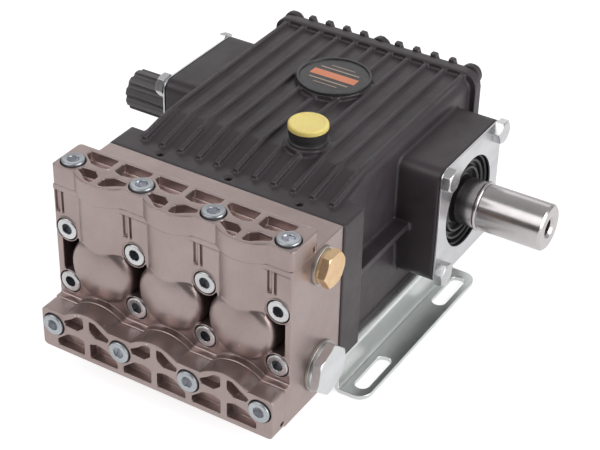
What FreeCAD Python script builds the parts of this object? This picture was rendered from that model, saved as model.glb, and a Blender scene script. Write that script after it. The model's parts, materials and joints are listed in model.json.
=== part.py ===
import FreeCAD, Part
import math
import os

import Sketcher
from FreeCAD import Vector

# A three-plunger high-pressure pump, seen from its valve side.
# Lengths are in millimetres. X runs along the crankshaft, to the drive end. Y runs from the
# valve head back to the rear cover, from 0 at the joint face of head and crankcase. Z is up,
# from 0 at the shaft axis. Every piece is then shifted by the same step, so that the origin
# is under the middle of the pump, on the floor.

os.makedirs("parts", exist_ok=True)
doc = FreeCAD.newDocument("plunger_pump")
sheet = doc.addObject("Spreadsheet::Sheet", "sizes")

SIZES = [
    # crankshaft
    ("shaft_height", 76), ("shaft_radius", 14), ("shaft_reach", 146.2), ("shaft_chamfer", 1.2),
    ("shaft_y", 114.2), ("tail_radius", 10.5),
    ("end_thread_radius", 5), ("end_thread_depth", 22),
    ("collar_radius", 15.3), ("collar_from", 104), ("collar_width", 2.2), ("run_fit", 0.05),
    ("cap_gap", 3), ("cap_long", 45.4), ("cap_end", 4), ("cap_radius", 13.3), ("cap_fit", 0.05),
    ("cap_groove", 1.9), ("cap_collar", 5), ("groove_out", 0.2),
    # valve head
    ("plunger_pitch", 45.5), ("head_end", 7.75), ("head_top", 40.1), ("head_bottom", 58),
    ("head_front", 50.8), ("seat_front", 55.6), ("lower_top", 32.3), ("upper_screw", 13.1),
    ("lower_screw", 22.2), ("boss_in", 0.05), ("boss_rise", 0.7), ("column_half", 13.8),
    ("column_bulge", 23.5), ("dome_radius", 20.6), ("dome_drop", 5.9), ("dome_front", 57.6),
    ("dome_face", 45), ("dome_corner", 7), ("window_half", 7.5), ("window_depth", 38),
    ("end_wall", 3.8), ("column_root", 40), ("lip_low", 36.9), ("lip_thick", 0.6),
    ("groove_from", 7.1), ("groove_wide", 2.6), ("groove_rib", 1.5), ("groove_thin", 1.3),
    ("groove_deep", 2.2), ("groove_above", 9.1),
    # valve covers
    ("cover_over", 0.3), ("cover_thick", 12.4), ("cover_back", 25.7), ("cover_depth", 25.7),
    ("bulge_rise", 5.6), ("bulge_radius", 24), ("cover_screw", 16.5), ("pocket_depth", 6),
    ("cover_corner", 2.5), ("pocket_corner", 1.3), ("notch_in", 3), ("notch_wide", 2.4),
    ("notch_up", 0.8), ("notch_high", 3.2), ("notch_deep", 3),
    # fasteners
    ("head_radius", 6.5), ("head_high", 8), ("bolt_radius", 4), ("key_flats", 6),
    ("key_deep", 4), ("sink_radius", 7.1), ("front_sink", 7.2), ("cover_sink", 6.5),
    ("thread_fit", 0.1), ("front_bolt", 60), ("cover_bolt", 25),
    # ports and their plugs
    ("outlet_flats", 19), ("outlet_high", 4.7), ("outlet_thread", 6.6), ("outlet_drop", 12.4),
    ("inlet_flats", 27), ("inlet_high", 5.1), ("inlet_thread", 10.4), ("inlet_rise", 19.3),
    ("port_y", 21.2), ("washer_thick", 1.8), ("washer_lip", 1.5), ("plug_collar", 1.8),
    ("plug_length", 14), ("port_depth", 16), ("port_fit", 0.1),
    # crankcase
    ("flange_over", 0.9), ("flange_thick", 21.5), ("case_bottom", 51), ("flange_top", 40),
    ("slope_from", 14), ("slope_to", 42), ("slope_top", 45.6), ("case_top", 48.4),
    ("case_back", 164.5), ("upper_half", 66.6), ("wall_foot", 69.4), ("ledge_top", -1),
    ("ledge_thick", 4), ("ledge_out", 76.5), ("shoulder", 7), ("rib_pitch", 12.3),
    ("rib_width", 3.2), ("nose_y", 12), ("nose_high", 42.8), ("rib_bend", 48.3), ("bend_from", 32),
    ("bend_to", 47), ("rib_high", 50.9), ("rib_count", 11), ("rim_half", 70.5),
    ("rim_top", 51.8), ("rim_thick", 7.5), ("rim_corner", 9), ("boss_half", 38),
    ("boss_reach", 93.6), ("boss_corner", 7), ("bearing_radius", 31), ("bearing_in", 66),
    ("bearing_wide", 16), ("seal_wide", 9), ("seal_sunk", 1), ("race_fit", 0.05),
    ("core_clear", 1), ("tap_spare", 0.6), ("past", 2), ("jet_radius", 1.9), ("jet_y", 5.4),
    ("jet_deep", 6),
    # bearing covers and their bolts
    ("plate_thick", 1.2), ("plate_bore", 28), ("plate_bolt", 32), ("hex_flats", 13),
    ("hex_high", 5.3), ("plate_bolt_long", 22), ("bolt_hole", 4.4),
    # rear cover
    ("back_half", 68.5), ("back_top", 49.4), ("back_bottom", 48), ("back_thick", 4.5),
    ("back_corner", 10), ("core_half", 59), ("core_high", 40), ("core_thick", 12),
    ("core_corner", 14), ("fin_count", 9), ("fin_width", 3.6), ("fin_deep", 16),
    ("round_proud", 1), ("fin_top", 53), ("fin_drop", 24), ("fin_bottom", 46), ("lobe_radius", 6.6),
    ("lobe_x", 62.3), ("lobe_z", 46.2), ("lobe_thick", 4.5), ("small_head_radius", 4.75),
    ("small_head_high", 2.75), ("small_bolt_radius", 2.5), ("small_key_flats", 3),
    ("small_key_deep", 1.6), ("small_bolt_long", 10.5), ("small_room", 1.2),
    ("glass_radius", 13), ("glass_z", 10), ("glass_boss", 18), ("glass_thick", 3), ("glass_rim", 16.5),
    ("glass_proud", 2), ("glass_sunk", 6), ("drain_z", 24), ("drain_boss", 13), ("drain_flats", 17),
    ("drain_high", 7), ("drain_thread", 6.6), ("drain_depth", 12), ("drain_length", 10),
    # oil filler and badge
    ("oil_x", 22.5), ("oil_y", 51.5), ("oil_radius", 11.6), ("oil_thick", 3.4), ("neck_radius", 10.8),
    ("neck_top", 57), ("neck_bottom", 44), ("pad_radius", 13), ("pad_top", 48.9), ("neck_hole", 8),
    ("badge_y", 118), ("badge_radius", 22.5), ("badge_seat", 50.6), ("badge_thick", 1.6),
    # mounting rails
    ("rail_plate", 3), ("rail_web", 75), ("rail_inner", 50), ("rail_foot", 92.5),
    ("rail_from", 3.5), ("rail_to", 144), ("rail_bend", 4.5), ("rail_corner", 8),
    ("slot_half", 4.4), ("slot_long", 33), ("slot_x", 84.3), ("slot_pitch", 93.5),
    ("rail_bolt_x", 61), ("rail_bolt_from", 30), ("rail_bolt_to", 118), ("rail_bolt_long", 18),
]
for row, (alias, number) in enumerate(SIZES, start=1):
    sheet.set(f"A{row}", alias)
    sheet.set(f"B{row}", str(number))
    sheet.setAlias(f"B{row}", alias)
doc.recompute()

HEAD_HALF = "(1.5 * sizes.plunger_pitch + sizes.head_end)"
COVER_HALF = f"({HEAD_HALF} + sizes.cover_over)"
FLANGE_HALF = f"({HEAD_HALF} + sizes.flange_over)"
PLATE_FACE = "(sizes.boss_reach + sizes.plate_thick)"
CAP_FROM = f"({PLATE_FACE} + sizes.cap_gap)"
CAP_REACH = f"({CAP_FROM} + sizes.cap_long)"
TAIL_REACH = f"({CAP_REACH} - sizes.cap_end)"
SHIFT_X = f"({CAP_REACH} - sizes.shaft_reach) / 2"
FRONT_REACH = "(sizes.seat_front + sizes.cover_thick + sizes.head_high - sizes.cover_sink)"
BACK_FACE = "(sizes.case_back + sizes.rim_thick)"
BOSS_FACE = f"({BACK_FACE} + sizes.fin_deep + sizes.round_proud)"
BACK_REACH = f"({BOSS_FACE} + sizes.drain_high)"
SHIFT_Y = f"({FRONT_REACH} - {BACK_REACH}) / 2"

pieces = []

# A quarter or half circle is drawn a hair too wide, so that its arc always meets its ends.
ARC_SLACK = 1.0001
# How close an edge lies to a place where it is looked for, and how close to a whole side.
NEAR = 0.01
BESIDE = 1
CAP_FLUTES = 10
OUTLET_TURN = 2
INLET_TURN = 19


# Helpers: expressions, sketches and features

def number(expression):
    value = sheet.evalExpression(expression)
    return float(getattr(value, "Value", value))


def size(alias):
    return number(f"sizes.{alias}")


def settle(item, label):
    item.Label = label
    item.setExpression("Placement.Base.x", SHIFT_X)
    item.setExpression("Placement.Base.y", SHIFT_Y)
    item.setExpression("Placement.Base.z", "sizes.shaft_height")
    pieces.append(item)
    return item


def new_body(label):
    body = doc.addObject("PartDesign::Body", label)
    body.AllowCompound = True
    return settle(body, label)


def new_sketch(body, plane, name, offset="0", across="0", along="0"):
    sketch = body.newObject("Sketcher::SketchObject", f"{body.Label}_{name}")
    support = next(f for f in body.Origin.OriginFeatures if f.Role == plane)
    sketch.AttachmentSupport = [(support, "")]
    sketch.MapMode = "FlatFace"
    sketch.setExpression("AttachmentOffset.Base.x", across)
    sketch.setExpression("AttachmentOffset.Base.y", along)
    sketch.setExpression("AttachmentOffset.Base.z", offset)
    return sketch


def pin_point(sketch, geometry, end, x, y, rules):
    rules.append(("DistanceX", -1, 1, geometry, end, x))
    rules.append(("DistanceY", -1, 1, geometry, end, y))


def add_rules(sketch, joins, rules):
    made = [Sketcher.Constraint(*join) for join in joins]
    first = sketch.ConstraintCount + len(made)
    for kind, *where, expression in rules:
        made.append(Sketcher.Constraint(kind, *where, number(expression)))
    sketch.addConstraint(made)
    for index, rule in enumerate(rules):
        sketch.setExpression(f"Constraints[{first + index}]", rule[-1])


# A closed outline. Each corner is (x, y), or (x, y, radius) where the side that starts
# there is an arc: a positive radius bulges to the right of the way round.
def outline(sketch, corners):
    first = sketch.GeometryCount
    count = len(corners)
    spots = [Vector(number(c[0]), number(c[1]), 0) for c in corners]
    joins, rules, ends = [], [], []
    for index, corner in enumerate(corners):
        here, there = spots[index], spots[(index + 1) % count]
        if len(corner) == 2:
            sketch.addGeometry(Part.LineSegment(here, there))
            ends.append((1, 2))
            continue
        radius = number(corner[2])
        half = (there - here) / 2
        side = Vector(half.y, -half.x, 0).normalize()
        drop = math.sqrt(max(radius ** 2 - half.Length ** 2, 0))
        turn = 1 if radius > 0 else -1
        centre = here + half - side * drop * turn
        top = centre + side * abs(radius) * turn
        if radius > 0:
            sketch.addGeometry(Part.Arc(here, top, there))
            ends.append((1, 2))
        else:
            sketch.addGeometry(Part.Arc(there, top, here))
            ends.append((2, 1))
        rules.append(("Radius", first + index, f"abs({corner[2]})"))
    for index, corner in enumerate(corners):
        after = (index + 1) % count
        joins.append(("Coincident", first + index, ends[index][1], first + after, ends[after][0]))
        pin_point(sketch, first + index, ends[index][0], corner[0], corner[1], rules)
    add_rules(sketch, joins, rules)


def rectangle(sketch, x_low, x_high, y_low, y_high):
    outline(sketch, [(x_low, y_low), (x_high, y_low), (x_high, y_high), (x_low, y_high)])


# A rectangle whose corners are quarter circles.
def soft_rectangle(sketch, x_low, x_high, y_low, y_high, radius):
    bend = f"{radius} * {ARC_SLACK}"
    outline(sketch, [
        (f"{x_low} + {radius}", y_low),
        (f"{x_high} - {radius}", y_low, bend),
        (x_high, f"{y_low} + {radius}"),
        (x_high, f"{y_high} - {radius}", bend),
        (f"{x_high} - {radius}", y_high),
        (f"{x_low} + {radius}", y_high, bend),
        (x_low, f"{y_high} - {radius}"),
        (x_low, f"{y_low} + {radius}", bend),
    ])


def circle(sketch, x, y, radius):
    geometry = sketch.GeometryCount
    centre = Vector(number(x), number(y), 0)
    sketch.addGeometry(Part.Circle(centre, Vector(0, 0, 1), number(radius)))
    rules = [("Radius", geometry, radius)]
    pin_point(sketch, geometry, 3, x, y, rules)
    add_rules(sketch, [], rules)


def hexagon(sketch, x, y, flats, turn=0):
    corners = []
    for step in range(6):
        angle = math.radians(60 * step + 30 + turn)
        reach = 1 / math.sqrt(3)
        corners.append((f"({x}) + {flats} * {reach * math.cos(angle):.7f}",
                        f"({y}) + {flats} * {reach * math.sin(angle):.7f}"))
    outline(sketch, corners)


def slot(sketch, x, y_low, y_high, half):
    outline(sketch, [(f"{x} + {half}", f"{y_low} + {half}"),
                     (f"{x} + {half}", f"{y_high} - {half}", f"{half} * {ARC_SLACK}"),
                     (f"{x} - {half}", f"{y_high} - {half}"),
                     (f"{x} - {half}", f"{y_low} + {half}", f"{half} * {ARC_SLACK}")])


def feature(body, kind, sketch, length, flip=False, middle=False):
    made = body.newObject(f"PartDesign::{kind}", f"{sketch.Name}_{kind.lower()}")
    made.Profile = (sketch, [""])
    made.setExpression("Length", length)
    made.Reversed = flip
    made.SideType = "Symmetric" if middle else "One side"
    return made


def pad(body, sketch, length, flip=False, middle=False):
    return feature(body, "Pad", sketch, length, flip, middle)


def pocket(body, sketch, depth, flip=False, middle=False):
    return feature(body, "Pocket", sketch, depth, flip, middle)


def revolve(body, sketch, axis="H_Axis"):
    made = body.newObject("PartDesign::Revolution", f"{sketch.Name}_turned")
    made.Profile = (sketch, [""])
    made.ReferenceAxis = (sketch, [axis])
    made.Angle = 360
    return made


def repeat(body, base, axis, length, count):
    pattern = body.newObject("PartDesign::LinearPattern", f"{base.Name}_row")
    pattern.Originals = [base]
    direction = next(f for f in body.Origin.OriginFeatures if f.Role == axis)
    pattern.Direction = (direction, [""])
    pattern.setExpression("Length", length)
    pattern.setExpression("Occurrences", count)
    body.Tip = pattern
    return pattern


def round_edges(body, radius, wanted):
    doc.recompute()
    base = body.Tip
    names = []
    for index, edge in enumerate(base.Shape.Edges, start=1):
        if edge.Length > NEAR and wanted(edge):
            names.append(f"Edge{index}")
    fillet = body.newObject("PartDesign::Fillet", f"{base.Name}_rounded")
    fillet.Base = (base, names)
    fillet.setExpression("Radius", radius)
    return fillet


def runs_along(edge, axis):
    ends = [vertex.Point for vertex in edge.Vertexes]
    if len(ends) != 2 or edge.Curve.TypeId != "Part::GeomLine":
        return False
    way = (ends[1] - ends[0]).normalize()
    return abs(way.dot(axis)) > 0.999


ALONG_Y = Vector(0, 1, 0)
ALONG_Z = Vector(0, 0, 1)

CYLINDERS = ["-sizes.plunger_pitch", "0", "sizes.plunger_pitch"]
SCREW_LINES = [f"{step} * sizes.plunger_pitch" for step in (-1.5, -0.5, 0.5, 1.5)]
OUTLET_Z = "(sizes.head_top - sizes.outlet_drop)"
INLET_Z = "(sizes.inlet_rise - sizes.head_bottom)"


# Crankshaft with its end thread, and the cap on its far end

def make_crankshaft():
    body = new_body("crankshaft")
    profile = new_sketch(body, "XY_Plane", "profile", along="sizes.shaft_y")
    outline(profile, [
        (f"-{TAIL_REACH}", "0"),
        ("sizes.shaft_reach", "0"),
        ("sizes.shaft_reach", "sizes.shaft_radius - sizes.shaft_chamfer"),
        ("sizes.shaft_reach - sizes.shaft_chamfer", "sizes.shaft_radius"),
        ("sizes.collar_from + sizes.collar_width", "sizes.shaft_radius"),
        ("sizes.collar_from + sizes.collar_width", "sizes.collar_radius"),
        ("sizes.collar_from", "sizes.collar_radius"),
        ("sizes.collar_from", "sizes.shaft_radius"),
        (f"-{PLATE_FACE}", "sizes.shaft_radius"),
        (f"-{PLATE_FACE}", "sizes.tail_radius"),
        (f"-{TAIL_REACH}", "sizes.tail_radius"),
    ])
    revolve(body, profile)
    mouth = new_sketch(body, "YZ_Plane", "end_thread", offset="sizes.shaft_reach")
    circle(mouth, "sizes.shaft_y", "0", "sizes.end_thread_radius")
    pocket(body, mouth, "sizes.end_thread_depth")


def make_shaft_cap():
    body = new_body("shaft_cap")
    section = new_sketch(body, "YZ_Plane", "section", offset=f"-{CAP_REACH}")
    circle(section, "sizes.shaft_y", "0", "sizes.cap_radius")
    pad(body, section, "sizes.cap_long")
    bore = new_sketch(body, "YZ_Plane", "bore", offset=f"-{CAP_FROM}")
    circle(bore, "sizes.shaft_y", "0", "sizes.tail_radius + sizes.cap_fit")
    pocket(body, bore, "sizes.cap_long - sizes.cap_end + sizes.cap_fit")
    flutes = new_sketch(body, "YZ_Plane", "flutes", offset=f"-{CAP_FROM} - sizes.cap_collar")
    reach = "(sizes.cap_radius + sizes.groove_out)"
    for step in range(CAP_FLUTES):
        angle = 2 * math.pi * (step + 0.5) / CAP_FLUTES
        circle(flutes, f"sizes.shaft_y + {reach} * {math.cos(angle):.7f}",
               f"{reach} * {math.sin(angle):.7f}", "sizes.cap_groove")
    pocket(body, flutes, "sizes.cap_long")


# Valve head: one casting with three plunger domes, their valve columns and the screw bosses

def make_head():
    body = new_body("head")
    side = new_sketch(body, "YZ_Plane", "side")
    outline(side, [
        ("0", "-sizes.head_bottom"),
        ("0", "sizes.head_top"),
        ("-sizes.head_front", "sizes.head_top"),
        ("-sizes.head_front", "-sizes.lower_top"),
        ("-sizes.seat_front", "-sizes.lower_top"),
        ("-sizes.seat_front", "-sizes.head_bottom"),
    ])
    pad(body, side, f"2 * {HEAD_HALF}", middle=True)

    windows = new_sketch(body, "XZ_Plane", "windows", offset="sizes.head_front")
    inside = f"({HEAD_HALF} - sizes.end_wall)"
    starts = [f"-{inside}"] + [f"{line} - sizes.window_half" for line in SCREW_LINES[1:]]
    ends = [f"{line} + sizes.window_half" for line in SCREW_LINES[:-1]] + [inside]
    for x_low, x_high in zip(starts, ends):
        rectangle(windows, x_low, x_high, "-sizes.lower_screw", "sizes.upper_screw")
    pocket(body, windows, "sizes.window_depth")

    bosses = new_sketch(body, "XZ_Plane", "bosses", offset="sizes.head_front - sizes.window_depth")
    for line in SCREW_LINES:
        circle(bosses, line, "sizes.upper_screw", "sizes.head_end - sizes.boss_in")
        circle(bosses, line, "-sizes.lower_screw", "sizes.head_end - sizes.boss_in")
    pad(body, bosses, "sizes.window_depth + sizes.boss_rise")

    lip = new_sketch(body, "XZ_Plane", "lip", offset="sizes.head_front")
    rectangle(lip, f"-{HEAD_HALF}", HEAD_HALF, "sizes.lip_low", "sizes.head_top")
    pad(body, lip, "sizes.lip_thick")

    grooves = new_sketch(body, "XZ_Plane", "grooves", offset="sizes.head_front")
    low = "sizes.upper_screw + sizes.groove_above"
    for line in SCREW_LINES:
        first = f"{line} - sizes.groove_from"
        second = f"{first} + sizes.groove_wide + sizes.groove_rib"
        rectangle(grooves, first, f"{first} + sizes.groove_wide", low, "sizes.lip_low")
        rectangle(grooves, second, f"{second} + sizes.groove_thin", low, "sizes.lip_low")
    pocket(body, grooves, "sizes.groove_deep")

    columns = new_sketch(body, "XY_Plane", "columns", offset="-sizes.dome_drop")
    for centre in CYLINDERS:
        outline(columns, [
            (f"{centre} - sizes.column_half", "-sizes.column_root"),
            (f"{centre} - sizes.column_half", "-sizes.head_front", "sizes.column_bulge"),
            (f"{centre} + sizes.column_half", "-sizes.head_front"),
            (f"{centre} + sizes.column_half", "-sizes.column_root"),
        ])
    pad(body, columns, "sizes.head_top + sizes.dome_drop")

    swells = new_sketch(body, "XZ_Plane", "swells", offset="sizes.column_root")
    top = "-(sizes.head_bottom - sizes.cover_depth)"
    half = "sqrt(sizes.bulge_radius ^ 2 - (sizes.bulge_radius - sizes.bulge_rise) ^ 2)"
    for centre in CYLINDERS:
        outline(swells, [
            (f"{centre} - {half}", f"{top} - sizes.past"),
            (f"{centre} + {half}", f"{top} - sizes.past"),
            (f"{centre} + {half}", top, "sizes.bulge_radius"),
            (f"{centre} - {half}", top),
        ])
    pad(body, swells, "sizes.seat_front - sizes.column_root")

    for step, centre in enumerate(CYLINDERS):
        dome = new_sketch(body, "YZ_Plane", f"dome_{step}", offset=centre,
                          along="-sizes.dome_drop")
        inner = "(sizes.dome_radius - sizes.dome_corner)"
        swing = "(sizes.dome_face - sizes.dome_corner)"
        run = f"sqrt({swing} ^ 2 - {inner} ^ 2)"
        outline(dome, [
            ("-sizes.dome_front", "0"),
            ("sizes.window_depth - sizes.head_front", "0"),
            ("sizes.window_depth - sizes.head_front", "sizes.dome_radius"),
            (f"sizes.dome_face - sizes.dome_front - {run}", "sizes.dome_radius", "sizes.dome_corner"),
            (f"sizes.dome_face - sizes.dome_front - {run} * sizes.dome_face / {swing}",
             f"{inner} * sizes.dome_face / {swing}", "sizes.dome_face"),
        ])
        revolve(body, dome)

    sinks = new_sketch(body, "XZ_Plane", "sinks", offset="sizes.dome_front")
    drills = new_sketch(body, "XZ_Plane", "drills", offset="sizes.head_front")
    for line in SCREW_LINES:
        for level in ("sizes.upper_screw", "-sizes.lower_screw"):
            circle(sinks, line, level, "sizes.sink_radius")
            circle(drills, line, level, "sizes.bolt_radius + sizes.thread_fit")
    pocket(body, sinks, "sizes.dome_front - sizes.head_front + sizes.front_sink")
    pocket(body, drills, "sizes.head_front")

    top_drills = new_sketch(body, "XY_Plane", "top_drills", offset="sizes.head_top")
    low_drills = new_sketch(body, "XZ_Plane", "low_drills", offset="sizes.seat_front")
    for line in SCREW_LINES:
        circle(top_drills, line, "-(sizes.cover_back + sizes.cover_screw)",
               "sizes.bolt_radius + sizes.thread_fit")
        circle(low_drills, line, "-sizes.head_bottom + sizes.cover_screw",
               "sizes.bolt_radius + sizes.thread_fit")
    depth = "sizes.cover_bolt - sizes.cover_thick + sizes.cover_sink + sizes.thread_fit"
    pocket(body, top_drills, depth)
    pocket(body, low_drills, depth)

    for name, offset, flip in (("right", HEAD_HALF, False), ("left", f"-{HEAD_HALF}", True)):
        ports = new_sketch(body, "YZ_Plane", f"ports_{name}", offset=offset)
        circle(ports, "-sizes.port_y", OUTLET_Z, "sizes.outlet_thread + sizes.port_fit")
        circle(ports, "-sizes.port_y", INLET_Z, "sizes.inlet_thread + sizes.port_fit")
        pocket(body, ports, "sizes.port_depth", flip=flip)


# Valve covers: one casting used twice, on top and turned to face forward below

# The pockets on one side of a cylinder: how far out from its middle, and how far from the
# cover's straight edge.
POCKET_AHEAD = [(2.1, 28.6), (6.1, 28), (10.5, 24.6), (15.8, 21.4), (14.3, 18.7), (6.6, 18.2),
                (2.1, 21.8)]
POCKET_BEHIND = [(2, 3.1), (20.7, 3.1), (20.7, 7.1), (13.2, 13.1), (6.9, 14.1), (2, 12.5)]


def cover_point(along, turned):
    if turned:
        return f"-sizes.head_bottom + {along}"
    return f"-(sizes.cover_back + {along})"


def make_valve_cover(label, turned):
    body = new_body(label)
    plane = "XZ_Plane" if turned else "XY_Plane"
    base = "sizes.seat_front" if turned else "sizes.head_top"
    rise = "sqrt(sizes.bulge_radius ^ 2 - (sizes.bulge_radius - sizes.bulge_rise) ^ 2)"
    front = cover_point("sizes.cover_depth", turned)
    back = cover_point("0", turned)
    edge = new_sketch(body, plane, "edge", offset=base)
    bulge = "sizes.bulge_radius" if turned else "-sizes.bulge_radius"
    corners = [(COVER_HALF, back), (COVER_HALF, front)]
    for centre in reversed(CYLINDERS):
        corners.append((f"{centre} + {rise}", front, bulge))
        corners.append((f"{centre} - {rise}", front))
    corners += [(f"-{COVER_HALF}", front), (f"-{COVER_HALF}", back)]
    outline(edge, corners)
    pad(body, edge, "sizes.cover_thick")

    upright = ALONG_Y if turned else ALONG_Z
    round_edges(body, "sizes.cover_corner", lambda e: runs_along(e, upright)
                and abs(e.CenterOfMass.x) > number(COVER_HALF) - BESIDE)

    recess = new_sketch(body, plane, "recess", offset=f"{base} + sizes.cover_thick")
    for centre in CYLINDERS:
        for shape in (POCKET_AHEAD, POCKET_BEHIND):
            for side in (1, -1):
                outline(recess, [(f"{centre} + {side * u}", cover_point(str(w), turned))
                                 for u, w in shape])
    pocket(body, recess, "sizes.pocket_depth")
    round_edges(body, "sizes.pocket_corner", lambda e: runs_along(e, upright)
                and abs(e.Length - size("pocket_depth")) < NEAR)

    sinks = new_sketch(body, plane, "sinks", offset=f"{base} + sizes.cover_thick")
    drills = new_sketch(body, plane, "drills", offset=f"{base} + sizes.cover_thick")
    for line in SCREW_LINES:
        circle(sinks, line, cover_point("sizes.cover_screw", turned), "sizes.sink_radius")
        circle(drills, line, cover_point("sizes.cover_screw", turned),
               "sizes.bolt_radius + sizes.thread_fit")
    pocket(body, sinks, "sizes.cover_sink")
    pocket(body, drills, "sizes.cover_thick")

    notch = new_sketch(body, "YZ_Plane", "notch", offset=COVER_HALF)
    along = [cover_point("sizes.notch_in", turned),
             cover_point("(sizes.notch_in + sizes.notch_wide)", turned)]
    above = [f"{base} + sizes.notch_up", f"{base} + sizes.notch_up + sizes.notch_high"]
    if turned:
        rectangle(notch, f"-({above[1]})", f"-({above[0]})", along[0], along[1])
    else:
        rectangle(notch, along[1], along[0], above[0], above[1])
    pocket(body, notch, "sizes.notch_deep")


# Screws: a round or hexagon head with its shank, several to a node

def make_screws(label, plane, seat, spots, shank, flip=False, small=False, hexed=False):
    body = new_body(label)
    prefix = "sizes.small_" if small else "sizes."
    heads = new_sketch(body, plane, "heads", offset=seat)
    shanks = new_sketch(body, plane, "shanks", offset=seat)
    high = "sizes.hex_high" if hexed else f"{prefix}head_high"
    for x, y in spots:
        if hexed:
            hexagon(heads, x, y, "sizes.hex_flats")
        else:
            circle(heads, x, y, f"{prefix}head_radius")
        circle(shanks, x, y, f"{prefix}bolt_radius")
    pad(body, heads, high, flip=flip)
    pad(body, shanks, shank, flip=not flip)
    if not hexed:
        sign = "-" if flip else ""
        keys = new_sketch(body, plane, "keys", offset=f"{seat} + {sign}{high}")
        for x, y in spots:
            hexagon(keys, x, y, f"{prefix}key_flats")
        pocket(body, keys, f"{prefix}key_deep", flip=flip)


def make_head_screws():
    seat = "sizes.head_front - sizes.front_sink"
    make_screws("head_screws_upper", "XZ_Plane", seat,
                [(line, "sizes.upper_screw") for line in SCREW_LINES], "sizes.front_bolt")
    make_screws("head_screws_lower", "XZ_Plane", seat,
                [(line, "-sizes.lower_screw") for line in SCREW_LINES], "sizes.front_bolt")


def make_cover_screws():
    for label, plane, base, turned in (
            ("top_cover_screws", "XY_Plane", "sizes.head_top", False),
            ("bottom_cover_screws", "XZ_Plane", "sizes.seat_front", True)):
        seat = f"{base} + sizes.cover_thick - sizes.cover_sink"
        spots = [(line, cover_point("sizes.cover_screw", turned)) for line in SCREW_LINES]
        make_screws(label, plane, seat, spots, "sizes.cover_bolt")


# Port plugs with their washers, on the drive-side end of the head

def make_plug(name, z, turn):
    y = "-sizes.port_y"
    flats = f"sizes.{name}_flats"
    thread = f"sizes.{name}_thread"
    washer = new_body(f"{name}_washer")
    ring = new_sketch(washer, "YZ_Plane", "ring", offset=HEAD_HALF)
    circle(ring, y, z, f"{flats} / 2 + sizes.washer_lip")
    circle(ring, y, z, f"{thread} + sizes.port_fit")
    pad(washer, ring, "sizes.washer_thick")
    plug = new_body(f"{name}_plug")
    seat = f"{HEAD_HALF} + sizes.washer_thick"
    collar = new_sketch(plug, "YZ_Plane", "collar", offset=seat)
    circle(collar, y, z, f"{flats} / 2")
    pad(plug, collar, "sizes.plug_collar")
    head = new_sketch(plug, "YZ_Plane", "head", offset=f"{seat} + sizes.plug_collar")
    hexagon(head, y, z, flats, turn)
    pad(plug, head, f"sizes.{name}_high")
    stem = new_sketch(plug, "YZ_Plane", "stem", offset=seat)
    circle(stem, y, z, thread)
    pad(plug, stem, "sizes.plug_length", flip=True)


def boss_square(sketch):
    soft_rectangle(sketch, "sizes.shaft_y - sizes.boss_half", "sizes.shaft_y + sizes.boss_half",
                   "-sizes.boss_half", "sizes.boss_half", "sizes.boss_corner")


# Crankcase: ribbed casting with a square bearing boss on each side

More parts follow.
